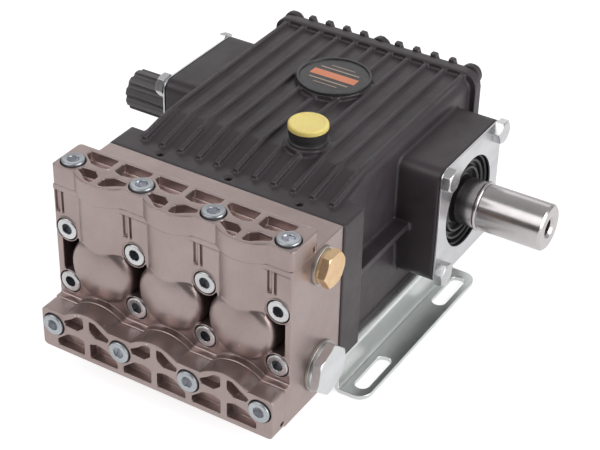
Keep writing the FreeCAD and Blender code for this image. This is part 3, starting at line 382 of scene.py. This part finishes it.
def machinedBrass():
    look = Finish("machined brass", (0.83, 0.56, 0.3), 0.9, 0.36)
    look.paint(look.mottled(look.grain(*brassLook["patches"]), brassLook["dark"], brassLook["pale"]))
    look.sheen(look.grain(*brassLook["sheen"]), *brassLook["rough"])
    look.relief(brassLook["skin"])
    return look.material


mouldingLook = {"paler": 1.15, "patches": (80, 3), "sheen": (200, 3),
                "roughChange": (-0.06, 0.08), "skin": (600, 3)}


def moulded(name, colour, rough, deep=0.015):
    # plastic or rubber with a fine skin, which is deep millimetres high
    look = Finish(name, colour, 0.0, rough)
    pale = tuple(min(1, c * mouldingLook["paler"]) for c in colour)
    look.paint(look.mottled(look.grain(*mouldingLook["patches"]), colour, pale))
    look.sheen(look.grain(*mouldingLook["sheen"]), *(rough + c for c in mouldingLook["roughChange"]))
    look.relief((*mouldingLook["skin"], deep))
    return look.material


labelLook = {"dark": (0.022, 0.022, 0.025), "pale": (0.045, 0.043, 0.046), "patches": (500, 3),
             "inks": ((0.5, 0.36, 0.27), (0.78, 0.25, 0.12)),
             "inkBand": (0, 1, 0.0, 0.45), "orangeBand": (0, 1, 0.5, 1.0),
             "sheen": (150, 3), "rough": (0.28, 0.42), "skin": (700, 3, 0.006)}


def badgeFace():
    # black label; the faces carry the tone printed on them, none, pale or orange
    look = Finish("badge face", (0.03, 0.03, 0.032), 0.0, 0.34)
    tone = look.attribute("print")
    ink = look.blend(look.spread(tone, *labelLook["orangeBand"]), *labelLook["inks"])
    plain = look.mottled(look.grain(*labelLook["patches"]), labelLook["dark"], labelLook["pale"])
    look.paint(look.blend(look.spread(tone, *labelLook["inkBand"]), plain, ink))
    look.sheen(look.grain(*labelLook["sheen"]), *labelLook["rough"])
    look.relief(labelLook["skin"])
    return look.material


glassLook = {"through": 0.6, "sheen": (60, 2), "rough": (0.05, 0.12)}


def clearGlass():
    look = Finish("clear window", (0.8, 0.78, 0.62), 0.0, 0.08)
    look.set("Transmission Weight", glassLook["through"])
    look.sheen(look.grain(*glassLook["sheen"]), *glassLook["rough"])
    return look.material


finishes = {
    "head_nickel": headNickel(),
    "case_black": caseBlack(),
    "shaft_steel": groundSteel(),
    "bright_zinc": zincPlate("bright zinc", (0.68, 0.68, 0.69), 0.28),
    "dull_zinc": zincPlate("dull zinc", (0.5, 0.53, 0.56), 0.34, socket=(0.72, 0.73, 0.77)),
    "rail_zinc": zincPlate("zinc sheet", (0.8, 0.83, 0.82), 0.3, streaks=25),
    "cover_bright": zincPlate("machined face", (0.7, 0.7, 0.72), 0.3),
    "plug_brass": machinedBrass(),
    "plug_zinc": zincPlate("zinc plug", (0.8, 0.81, 0.82), 0.34),
    "washer_metal": zincPlate("soft washer", (0.55, 0.53, 0.5), 0.4),
    "seal_rubber": moulded("seal rubber", (0.02, 0.02, 0.021), 0.3, deep=0.002),
    "black_plastic": moulded("black moulding", (0.035, 0.033, 0.035), 0.38),
    "worn_plastic": moulded("worn grey moulding", (0.115, 0.105, 0.108), 0.42),
    "cap_yellow": moulded("yellow moulding", (1.0, 0.76, 0.24), 0.35),
    "badge_black": badgeFace(),
    "glass_clear": clearGlass(),
}


def dress(piece, finishName):
    piece.data.materials.clear()
    piece.data.materials.append(finishes[finishName])


for nodeName, node in nodes.items():
    dress(node, slotOf[nodeName])

print("stage: tools")
# distances in millimetres and angles in degrees
joining = {"profile": 0.001, "node": 0.002, "flatWithin": 0.5}
edgeRule = {"segments": 2, "bevelFrom": 30, "smoothTo": 40}


def arc(across, high, radius, start, end, steps=5):
    # points of a profile's rounded corner, from one angle to another
    angles = [math.radians(start + (end - start) * step / steps) for step in range(steps + 1)]
    return [(across + radius * math.cos(a), high + radius * math.sin(a)) for a in angles]


def lathe(profile, steps):
    # a profile of (radius, height) turned round Z
    work = bmesh.new()
    points = [work.verts.new((radius * mm, 0, high * mm)) for radius, high in profile]
    edges = [work.edges.new(pair) for pair in zip(points, points[1:])]
    bmesh.ops.spin(work, geom=points + edges, cent=(0, 0, 0), axis=(0, 0, 1),
                   angle=math.tau, steps=steps, use_merge=True)
    bmesh.ops.remove_doubles(work, verts=work.verts, dist=joining["profile"] * mm)
    bmesh.ops.recalc_face_normals(work, faces=work.faces)
    return work


def prism(sides, flats, low, high, spot=(0, 0)):
    # an upright prism, its width across flats given
    work = bmesh.new()
    bmesh.ops.create_circle(work, cap_ends=True, segments=sides,
                            radius=flats / 2 / math.cos(math.pi / sides) * mm)
    made = bmesh.ops.extrude_face_region(work, geom=work.faces[:])
    raised = [part for part in made["geom"] if isinstance(part, bmesh.types.BMVert)]
    bmesh.ops.translate(work, vec=(0, 0, (high - low) * mm), verts=raised)
    bmesh.ops.translate(work, vec=(spot[0] * mm, spot[1] * mm, low * mm), verts=work.verts)
    bmesh.ops.recalc_face_normals(work, faces=work.faces)
    return work


def asObject(work, name):
    mesh = bpy.data.meshes.new(name)
    work.to_mesh(mesh)
    work.free()
    piece = bpy.data.objects.new(name, mesh)
    bpy.context.scene.collection.objects.link(piece)
    return piece


def bakeModifiers(piece):
    graph = bpy.context.evaluated_depsgraph_get()
    done = bpy.data.meshes.new_from_object(piece.evaluated_get(graph))
    piece.modifiers.clear()
    piece.data = done


def cut(piece, work, operation="DIFFERENCE"):
    # takes the shape in work from the piece, joins it on, or keeps what they share
    cutter = asObject(work, "cutter")
    change = piece.modifiers.new("cut", "BOOLEAN")
    change.operation = operation
    change.solver = "EXACT"
    change.object = cutter
    bakeModifiers(piece)
    bpy.data.objects.remove(cutter)


def merged(*works):
    # several shapes as one
    whole = works[0]
    for work in works[1:]:
        mesh = bpy.data.meshes.new("part")
        work.to_mesh(mesh)
        work.free()
        whole.from_mesh(mesh)
        bpy.data.meshes.remove(mesh)
    return whole


def facing(place, out, turn=0):
    # the matrix that sets a template on a place, its height along out
    tilt = upward.rotation_difference(out).to_matrix().to_4x4()
    return Matrix.Translation(place) @ tilt @ Matrix.Rotation(math.radians(turn), 4, "Z")


def copies(template, name, matrices):
    work = bmesh.new()
    for matrix in matrices:
        before = len(work.verts)
        work.from_mesh(template.data)
        bmesh.ops.transform(work, matrix=matrix, verts=work.verts[before:])
    bpy.data.objects.remove(template)
    return asObject(work, name)


def crisp(piece, width):
    # small bevels on the hard edges, and shading that keeps flats flat
    edges = piece.modifiers.new("edges", "BEVEL")
    edges.width = width * mm
    edges.segments = edgeRule["segments"]
    edges.limit_method = "ANGLE"
    edges.angle_limit = math.radians(edgeRule["bevelFrom"])
    edges.use_clamp_overlap = False
    bakeModifiers(piece)
    piece.data.shade_smooth()
    piece.data.set_sharp_from_angle(angle=math.radians(edgeRule["smoothTo"]))
    even = piece.modifiers.new("even", "WEIGHTED_NORMAL")
    even.keep_sharp = True
    bakeModifiers(piece)


def settle(piece, nodeName, finishName=None):
    dress(piece, finishName or slotOf[nodeName])
    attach(piece, bodyOf[nodeName])
    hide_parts(nodeName)


def putPiece(template, nodeName, pieceName, matrices, edge, finishName=None):
    # a template's copies become the piece that stands for a node
    piece = copies(template, pieceName, matrices)
    crisp(piece, edge)
    settle(piece, nodeName, finishName)


def welded(nodeName):
    work = bmesh.new()
    work.from_mesh(nodes[nodeName].data)
    bmesh.ops.remove_doubles(work, verts=work.verts, dist=joining["node"] * mm)
    return work


def islandsOf(nodeName):
    # the boxes of a node's separate parts, from left to right and then from low to high; parts
    # that tie come in no fixed order, so which screw has which turn can change from run to run
    work = welded(nodeName)
    unseen = set(work.verts)
    boxes = []
    while unseen:
        front = [unseen.pop()]
        part = list(front)
        while front:
            vertex = front.pop()
            for edge in vertex.link_edges:
                other = edge.other_vert(vertex)
                if other in unseen:
                    unseen.remove(other)
                    front.append(other)
                    part.append(other)
        low = Vector([min(v.co[i] for v in part) for i in range(3)])
        high = Vector([max(v.co[i] for v in part) for i in range(3)])
        boxes.append((low, high))
    work.free()
    return sorted(boxes, key=lambda box: (round(box[0].x, 4), round(box[0].z, 4)))


def seat(low, high, out, tall):
    # the point in a box's middle that lies under a head, which is tall millimetres high
    middle = (low + high) / 2
    reach = max(low.dot(out), high.dot(out)) - tall * mm
    return middle + out * (reach - middle.dot(out))


print("stage: castings")
castings = {
    # voxel in millimetres, passes of smoothing, and the most triangles kept
    "head": {"voxel": 0.5, "passes": 4, "most": 190000},
    "top_valve_cover": {"voxel": 0.4, "passes": 4, "most": 110000},
    "bottom_valve_cover": {"voxel": 0.4, "passes": 4, "most": 110000},
    "crankcase": {"voxel": 0.75, "passes": 6, "most": 190000},
    "rear_cover": {"voxel": 0.6, "passes": 5, "most": 90000},
}
softness = 0.5  # of each pass


def softCasting(nodeName, recipe):
    piece = asObject(welded(nodeName), nodeName + "Casting")
    remesh = piece.modifiers.new("skin", "REMESH")
    remesh.mode = "VOXEL"
    remesh.voxel_size = recipe["voxel"] * mm
    smooth = piece.modifiers.new("soften", "SMOOTH")
    smooth.factor = softness
    smooth.iterations = recipe["passes"]
    bakeModifiers(piece)
    triangles = 2 * len(piece.data.polygons)
    print(f"  {nodeName}: {triangles} triangles, at most {recipe['most']} kept")
    if triangles > recipe["most"]:
        thin = piece.modifiers.new("thin", "DECIMATE")
        thin.ratio = recipe["most"] / triangles
        bakeModifiers(piece)
    piece.data.shade_smooth()
    settle(piece, nodeName)


for castingName, castingRecipe in castings.items():
    softCasting(castingName, castingRecipe)

print("stage: screws")
capScrew = {"radius": 6.5, "high": 8.0, "rim": 0.9, "key": 6.0, "keyDeep": 4.0, "mouth": 0.5,
            "shank": 4.0, "long": 10.0, "edge": 0.12}
lowScrew = {"radius": 4.75, "high": 2.75, "rim": 0.9, "key": 3.0, "keyDeep": 1.6, "mouth": 0.3,
            "shank": 2.5, "long": 6.0, "edge": 0.1}
capHead = {"foot": 0.3, "dishFrom": 0.4, "dishTo": 0.8, "dish": 0.15, "mouthDeep": 1.2,
           "mouthInside": 0.3, "over": 1.0, "tonedUnder": 0.3, "sides": 56, "mouthSides": 48}
hexScrew = {"flats": 13.0, "high": 5.3, "top": 6.0, "reach": 7.4, "slope": 30, "shank": 4.0,
            "long": 10.0, "sunk": 0.2, "edge": 0.12}
hexHead = {"coneUnder": 1.0, "sides": 72}
screwTurns = (8, 41, 23, 52, 14, 33, 3, 47)  # in degrees, one screw after the other
capRows = {"head_screws_upper": -back, "head_screws_lower": -back, "top_cover_screws": upward,
           "bottom_cover_screws": -back}
hexRows = {"bearing_bolts_right": right, "bearing_bolts_left": -right,
           "rail_screws_right": -upward, "rail_screws_left": -upward}


def makeCapScrew(recipe):
    # a round head with a hexagon socket, its seat at height 0
    radius, high, rim, shank = (recipe[k] for k in ("radius", "high", "rim", "shank"))
    foot, dish, over = (capHead[k] for k in ("foot", "dish", "over"))
    profile = [(0, -recipe["long"]), (shank, -recipe["long"]), (shank, 0), (radius - foot, 0),
               (radius, foot)]
    profile += arc(radius - rim, high - rim, rim, 0, 90)
    profile += [(radius - rim - capHead["dishFrom"], high),
                (radius - rim - capHead["dishTo"], high - dish), (0, high - dish)]
    screw = asObject(lathe(profile, capHead["sides"]), "screw")
    cut(screw, prism(6, recipe["key"], high - recipe["keyDeep"], high + over))
    inside = recipe["key"] / 2 - capHead["mouthInside"]
    outside = recipe["key"] / 2 + recipe["mouth"]
    mouth = [(0, high - capHead["mouthDeep"]), (inside, high - capHead["mouthDeep"]),
             (outside, high), (outside, high + over), (0, high + over)]
    cut(screw, lathe(mouth, capHead["mouthSides"]))
    markSocket(screw, recipe)
    return screw


def markSocket(screw, recipe):
    # the faces in the socket, but not those of its mouth, carry the mark
    reach = recipe["key"] / 2 + recipe["mouth"] / 2
    top = recipe["high"] - capHead["tonedUnder"]
    work = bmesh.new()
    work.from_mesh(screw.data)
    inside = work.faces.layers.float.new("socket")
    for face in work.faces:
        spot = face.calc_center_median() / mm
        if spot.xy.length < reach and 0 < spot.z < top:
            face[inside] = 1
    work.to_mesh(screw.data)
    work.free()


def makeHexHead(recipe, below):
    # a hexagon head, its corners turned down to a cone, over what the profile below adds
    high, reach, under = recipe["high"], recipe["reach"], hexHead["coneUnder"]
    head = asObject(prism(6, recipe["flats"], 0, high), "hexHead")
    drop = (reach - recipe["top"]) * math.tan(math.radians(recipe["slope"]))
    cone = [(0, -under), (reach, -under), (reach, high - drop), (recipe["top"], high), (0, high)]
    cut(head, lathe(cone, hexHead["sides"]), "INTERSECT")
    cut(head, lathe(below, hexHead["sides"]), "UNION")
    return head


def makeHexScrew(recipe):
    shank, sunk = recipe["shank"], recipe["sunk"]
    stem = [(0, -recipe["long"]), (shank, -recipe["long"]), (shank, sunk), (0, sunk)]
    return makeHexHead(recipe, stem)


def placeScrews(nodeName, template, recipe, out, first=0):
    # one screw where each of the node's parts is, every one turned differently
    turns = screwTurns[first:] + screwTurns[:first]
    matrices = [facing(seat(low, high, out, recipe["high"]), out, turns[index % len(turns)])
                for index, (low, high) in enumerate(islandsOf(nodeName))]
    putPiece(template, nodeName, nodeName + "Piece", matrices, recipe["edge"])


for index, (nodeName, out) in enumerate(capRows.items()):
    placeScrews(nodeName, makeCapScrew(capScrew), capScrew, out, index)
placeScrews("rear_cover_screws", makeCapScrew(lowScrew), lowScrew, back)
for index, (nodeName, out) in enumerate(hexRows.items()):
    placeScrews(nodeName, makeHexScrew(hexScrew), hexScrew, out, index)

print("stage: plugs and washers")
plugs = {
    "outlet_plug": {"flats": 19.0, "high": 4.7, "top": 9.7, "reach": 10.9, "slope": 30,
                    "turn": 2, "out": right, "collar": 1.8, "collarRadius": 9.5, "thread": 6.6,
                    "long": 12, "edge": 0.18},
    "inlet_plug": {"flats": 27.0, "high": 5.1, "top": 14.0, "reach": 15.2, "slope": 30,
                   "turn": 19, "out": right, "collar": 1.8, "collarRadius": 13.5, "thread": 10.4,
                   "long": 12, "edge": 0.2},
    "drain_plug": {"flats": 17.0, "high": 5.4, "top": 7.9, "reach": 9.5, "slope": 30,
                   "turn": 11, "out": back, "collar": 1.6, "collarRadius": 9.2, "thread": 6.6,
                   "long": 9, "edge": 0.18},
}
plugCollar = {"slope": 0.5, "slopeFrom": 0.6, "sunk": 0.05}
washer = {"bore": 0.72, "round": 0.3, "roundSteps": 3, "sides": 64, "edge": 0.1}


def makePlug(nodeName, recipe):
    low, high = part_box(nodeName)
    long, thread, collar = recipe["long"], recipe["thread"], recipe["collar"]
    radius, sunk = recipe["collarRadius"], plugCollar["sunk"]
    below = [(0, -long), (thread, -long), (thread, -collar), (radius, -collar),
             (radius, -plugCollar["slopeFrom"]), (radius - plugCollar["slope"], sunk), (0, sunk)]
    spot = facing(seat(low, high, recipe["out"], recipe["high"]), recipe["out"], recipe["turn"])
    putPiece(makeHexHead(recipe, below), nodeName, nodeName + "Piece", [spot], recipe["edge"])


def makeWasher(nodeName):
    low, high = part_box(nodeName)
    middle = (low + high) / 2
    thick = (high.x - low.x) / mm
    radius = (high.y - low.y) / 2 / mm
    inner = radius * washer["bore"]
    soft, steps = washer["round"], washer["roundSteps"]
    profile = arc(radius - soft, thick - soft, soft, 90, 0, steps)
    profile += arc(radius - soft, soft, soft, 0, -90, steps)
    profile += [(inner, 0), (inner, thick), profile[0]]
    ring = asObject(lathe(profile, washer["sides"]), "ring")
    spot = facing(Vector((low.x, middle.y, middle.z)), right)
    putPiece(ring, nodeName, nodeName + "Piece", [spot], washer["edge"])


for nodeName, plugRecipe in plugs.items():
    makePlug(nodeName, plugRecipe)
makeWasher("outlet_washer")
makeWasher("inlet_washer")

print("stage: shaft and its ends")
shaft = {"radius": 14.0, "tail": 10.5, "step": 94.8, "sides": 96, "edge": 0.08,
         # the chamfer at its end, and the threaded hole in it
         "chamfer": 1.2, "chamferOut": 0.3, "chamferIn": 0.1, "hole": 5.0, "holeTip": 20.0,
         "holeDeep": 18.0, "mouth": 6.4, "mouthDeep": 1.6, "mouthOut": 0.3, "mouthIn": 0.2,
         # the thin ring near its seal, between two grooves
         "ring": 15.3, "ringFrom": 104.0, "ringWide": 2.2, "ringRound": 1.1, "ringArc": 80,
         "ringSteps": 6, "groove": 0.5, "grooveFrom": 0.6, "grooveTo": 0.4}


def makeShaft():
    low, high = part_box("crankshaft")
    end = (high.x - middleX) / mm
    tailEnd = (low.x - middleX) / mm
    radius, chamfer, hole, mouth = (shaft[k] for k in ("radius", "chamfer", "hole", "mouth"))
    groove, tail, step = shaft["groove"], shaft["tail"], shaft["step"]
    ringStart = shaft["ringFrom"]
    ringEnd = ringStart + shaft["ringWide"]
    ringMiddle = ringStart + shaft["ringWide"] / 2
    profile = [(0, end - shaft["holeTip"]), (hole, end - shaft["holeDeep"]),
               (hole, end - shaft["mouthDeep"]), (mouth, end - shaft["mouthIn"]),
               (mouth + shaft["mouthOut"], end)]
    profile += [(radius - chamfer - shaft["chamferOut"], end),
                (radius - chamfer, end - shaft["chamferIn"]),
                (radius - shaft["chamferIn"], end - chamfer),
                (radius, end - chamfer - shaft["chamferOut"])]
    profile += [(radius, ringEnd + groove), (radius - groove, ringEnd + groove / 2),
                (radius - groove, ringEnd)]
    profile += arc(shaft["ring"] - shaft["ringRound"], ringMiddle, shaft["ringRound"],
                   shaft["ringArc"], -shaft["ringArc"], shaft["ringSteps"])
    profile += [(radius - groove, ringStart), (radius - groove, ringStart - shaft["grooveTo"]),
                (radius, ringStart - shaft["grooveFrom"]), (radius, -step), (tail, -step),
                (tail, tailEnd), (0, tailEnd)]
    turned = asObject(lathe(profile, shaft["sides"]), "turned")
    spot = facing(Vector((middleX, shaftAxis.y, shaftAxis.z)), right)
    putPiece(turned, "crankshaft", "shaftPiece", [spot], shaft["edge"])


makeShaft()

shaftCap = {"radius": 13.3, "bore": 10.55, "foot": 0.4, "rim": 1.2, "wall": 3.9, "dish": 0.6,
            "dishFrom": 0.55, "dishTo": 0.5, "sides": 80, "edge": 0.3,
            "flutes": 10, "fluteRadius": 2.05, "fluteOut": 0.2, "fluteFrom": 5.0,
            "fluteOver": 2.0, "fluteSides": 20}


def makeShaftCap():
    low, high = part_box("shaft_cap")
    long = (high.x - low.x) / mm
    radius, rim, bore, foot = (shaftCap[k] for k in ("radius", "rim", "bore", "foot"))
    dish, wall = shaftCap["dish"], shaftCap["wall"]
    profile = [(bore, 0), (radius - foot, 0), (radius, foot)]
    profile += arc(radius - rim, long - rim, rim, 0, 90)
    profile += [(radius * shaftCap["dishFrom"], long), (radius * shaftCap["dishTo"], long - dish),
                (0, long - dish), (0, long - wall), (bore, long - wall), (bore, 0)]
    cap = asObject(lathe(profile, shaftCap["sides"]), "cap")
    reach = radius + shaftCap["fluteOut"]
    grooves = []
    for step in range(shaftCap["flutes"]):
        angle = math.tau * (step + 0.5) / shaftCap["flutes"]
        grooves.append(prism(shaftCap["fluteSides"], 2 * shaftCap["fluteRadius"],
                             shaftCap["fluteFrom"], long + shaftCap["fluteOver"],
                             (reach * math.cos(angle), reach * math.sin(angle))))
    cut(cap, merged(*grooves))
    spot = facing(Vector((high.x, shaftAxis.y, shaftAxis.z)), -right)
    putPiece(cap, "shaft_cap", "shaftCapPiece", [spot], shaftCap["edge"], "worn_plastic")


makeShaftCap()

seal = {"radius": 30.9, "inner": 14.3, "thick": 9.0, "rimEdge": 0.3, "lipRound": 1.1,
        "lipSteps": 6, "sides": 96, "edge": 0.12,
        # each a radius and how deep it lies under the seal's face, from the rim to the shaft
        "rim": [(27.2, 0), (26.6, 0.6), (26.2, 3.2)],
        "outerLip": (23.9, 1.9), "outerGroove": [(22.6, 3.4), (20.9, 3.4)],
        "innerLip": (19.4, 2.2), "innerGroove": [(18.2, 4.2), (16.6, 4.2)],
        "shaftLip": [(14.7, 2.9), (14.3, 3.6)]}


def makeSeal(nodeName, out):
    low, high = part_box(nodeName)
    radius, thick, rimEdge = seal["radius"], seal["thick"], seal["rimEdge"]

    def flat(part):
        return [(across, thick - deep) for across, deep in seal[part]]

    def lip(part):
        across, deep = seal[part]
        return arc(across, thick - deep, seal["lipRound"], 0, 180, seal["lipSteps"])

    profile = [(radius, 0), (radius, thick - rimEdge), (radius - rimEdge, thick)]
    profile += flat("rim") + lip("outerLip") + flat("outerGroove")
    profile += lip("innerLip") + flat("innerGroove") + flat("shaftLip")
    profile += [(seal["inner"], 0), (radius, 0)]
    ring = asObject(lathe(profile, seal["sides"]), "ring")
    face = high.x if out.x > 0 else low.x
    spot = Vector((face, shaftAxis.y, shaftAxis.z)) - out * thick * mm
    putPiece(ring, nodeName, nodeName + "Piece", [facing(spot, out)], seal["edge"])


makeSeal("oil_seal_right", right)
makeSeal("oil_seal_left", -right)

print("stage: sheet metal")
sheetEdges = {"bearing_cover_right": 0.2, "bearing_cover_left": 0.2, "rail_right": 0.45,
              "rail_left": 0.45}


def makeSheet(nodeName, edge):
    # the node's own shape, its flats made whole and its edges rounded
    work = welded(nodeName)
    bmesh.ops.dissolve_limit(work, angle_limit=math.radians(joining["flatWithin"]),
                             verts=work.verts, edges=work.edges)
    piece = asObject(work, nodeName + "Piece")
    crisp(piece, edge)
    settle(piece, nodeName)


for nodeName, sheetEdge in sheetEdges.items():
    makeSheet(nodeName, sheetEdge)

print("stage: oil cap and badge")
oilCap = {"rim": 1.3, "skirt": 0.3, "sides": 72, "edge": 0.1,
          # a shallow dip in its top, a little higher again in the middle
          "dip": 0.35, "dipRadius": 8.9, "dipOut": 0.5, "dipIn": 0.6, "dipMiddle": 0.6}


def makeOilCap():
    low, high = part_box("oil_cap")
    middle = (low + high) / 2
    radius = (high.x - low.x) / 2 / mm
    tall = (high.z - low.z) / mm
    rim, skirt, dip, dipRadius = (oilCap[k] for k in ("rim", "skirt", "dip", "dipRadius"))
    profile = [(0, 0), (radius - skirt, 0), (radius, skirt)]
    profile += arc(radius - rim, tall - rim, rim, 0, 90)
    profile += [(dipRadius + oilCap["dipOut"], tall), (dipRadius, tall - dip / 2),
                (dipRadius - oilCap["dipIn"], tall - dip), (0, tall - dip * oilCap["dipMiddle"])]
    cap = asObject(lathe(profile, oilCap["sides"]), "cap")
    spot = Matrix.Translation((middle.x, middle.y, low.z))
    putPiece(cap, "oil_cap", "oilCapPiece", [spot], oilCap["edge"])


makeOilCap()

neck = {"base": 48.9, "stem": 8.0, "stemDeep": 3.0, "foot": 11.4, "footHigh": 1.2,
        "footEdge": 0.4, "waist": 10.5, "waistFrom": 0.2, "collar": 11.2, "collarHigh": 3.8,
        "collarSlope": 0.4, "sides": 64, "edge": 0.15}


def makeNeck():
    # from its foot on the case up to the oil cap
    low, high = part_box("oil_cap")
    middle = (low + high) / 2
    base = fromDatum(0, 0, neck["base"]).z
    tall = (low.z - base) / mm
    stem, foot, footHigh, footEdge = (neck[k] for k in ("stem", "foot", "footHigh", "footEdge"))
    waist, collar = neck["waist"], neck["collar"]
    collarFrom = tall - neck["collarHigh"]
    profile = [(0, -neck["stemDeep"]), (stem, -neck["stemDeep"]), (stem, 0), (foot, 0),
               (foot, footHigh - footEdge), (foot - footEdge, footHigh),
               (waist, footHigh + neck["waistFrom"]), (waist, collarFrom - neck["collarSlope"]),
               (collar, collarFrom), (collar, tall), (0, tall)]
    turned = asObject(lathe(profile, neck["sides"]), "neck")
    spot = Matrix.Translation((middle.x, middle.y, base))
    putPiece(turned, "oil_cap_neck", "oilNeckPiece", [spot], neck["edge"])


makeNeck()

badge = {"labelRadius": 20.6, "labelDeep": 0.8, "ringOut": 0.5, "ringIn": 0.2, "round": 0.5,
         "roundSteps": 3, "printHigh": 0.06, "sides": 96, "edge": 0.02}
# lines printed on the label: middle along, width, height and tone, from pale to orange
badgeLines = [(0, 30, 6.5, 1.0), (7, 26, 1.1, 0.4), (-7, 26, 1.1, 0.4), (11, 16, 0.9, 0.3),
              (-11, 16, 0.9, 0.3)]


def printLine(work, toneLayer, base, line):
    # a flat block on the label, its faces marked with its tone
    along, wide, deep, tone = line
    high = badge["printHigh"]
    made = bmesh.ops.create_cube(work, size=1)
    size = Matrix.Diagonal((wide * mm, deep * mm, high * mm, 1))
    spot = Matrix.Translation((0, along * mm, (base + high / 2) * mm))
    bmesh.ops.transform(work, matrix=spot @ size, verts=made["verts"])
    for vertex in made["verts"]:
        for face in vertex.link_faces:
            face[toneLayer] = tone


def makeBadge():
    low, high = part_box("badge")
    middle = (low + high) / 2
    radius = (high.x - low.x) / 2 / mm
    tall = (high.z - low.z) / mm
    soft, labelRadius = badge["round"], badge["labelRadius"]
    labelFace = tall - badge["labelDeep"]
    profile = [(0, 0), (radius, 0), (radius, tall - soft)]
    profile += arc(radius - soft, tall - soft, soft, 0, 90, badge["roundSteps"])
    profile += [(labelRadius + badge["ringOut"], tall),
                (labelRadius + badge["ringIn"], tall - badge["ringIn"]),
                (labelRadius, labelFace), (0, labelFace)]
    work = lathe(profile, badge["sides"])
    toneLayer = work.faces.layers.float.new("print")
    for line in badgeLines:
        printLine(work, toneLayer, labelFace, line)
    spot = Matrix.Translation((middle.x, middle.y, low.z))
    putPiece(asObject(work, "disc"), "badge", "badgePiece", [spot], badge["edge"])


makeBadge()

print("stage: oil window")
pane = {"radius": 12.9, "bulge": 0.8, "bulgeSteps": 6, "sides": 64, "edge": 0.1}
hoop = {"radius": 16.5, "round": 1.0, "lip": 11.0, "lipOut": 1.2, "lipDeep": 1.4, "sides": 72,
        "edge": 0.12}


def makePane():
    low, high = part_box("sight_glass")
    middle = (low + high) / 2
    thick = (high.y - low.y) / mm
    radius = pane["radius"]
    profile = [(0, 0), (radius, 0), (radius, thick)]
    for step in range(1, pane["bulgeSteps"] + 1):
        share = step / pane["bulgeSteps"]
        rise = pane["bulge"] * math.sin(share * math.pi / 2)
        profile.append((radius * (1 - share), thick + rise))
    glass = asObject(lathe(profile, pane["sides"]), "glass")
    spot = facing(Vector((middle.x, low.y, middle.z)), back)
    putPiece(glass, "sight_glass", "sightGlassPiece", [spot], pane["edge"])


def makeHoop():
    # round the pane's own middle
    paneLow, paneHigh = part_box("sight_glass")
    middle = (paneLow + paneHigh) / 2
    low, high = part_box("sight_glass_rim")
    tall = (high.y - low.y) / mm
    radius, soft, lip = hoop["radius"], hoop["round"], hoop["lip"]
    profile = [(lip, 0), (radius, 0)]
    profile += arc(radius - soft, tall - soft, soft, 0, 90)
    profile += [(lip + hoop["lipOut"], tall), (lip, tall - hoop["lipDeep"]), (lip, 0)]
    ring = asObject(lathe(profile, hoop["sides"]), "ring")
    spot = facing(Vector((middle.x, low.y, middle.z)), back)
    putPiece(ring, "sight_glass_rim", "sightRimPiece", [spot], hoop["edge"])


makePane()
makeHoop()
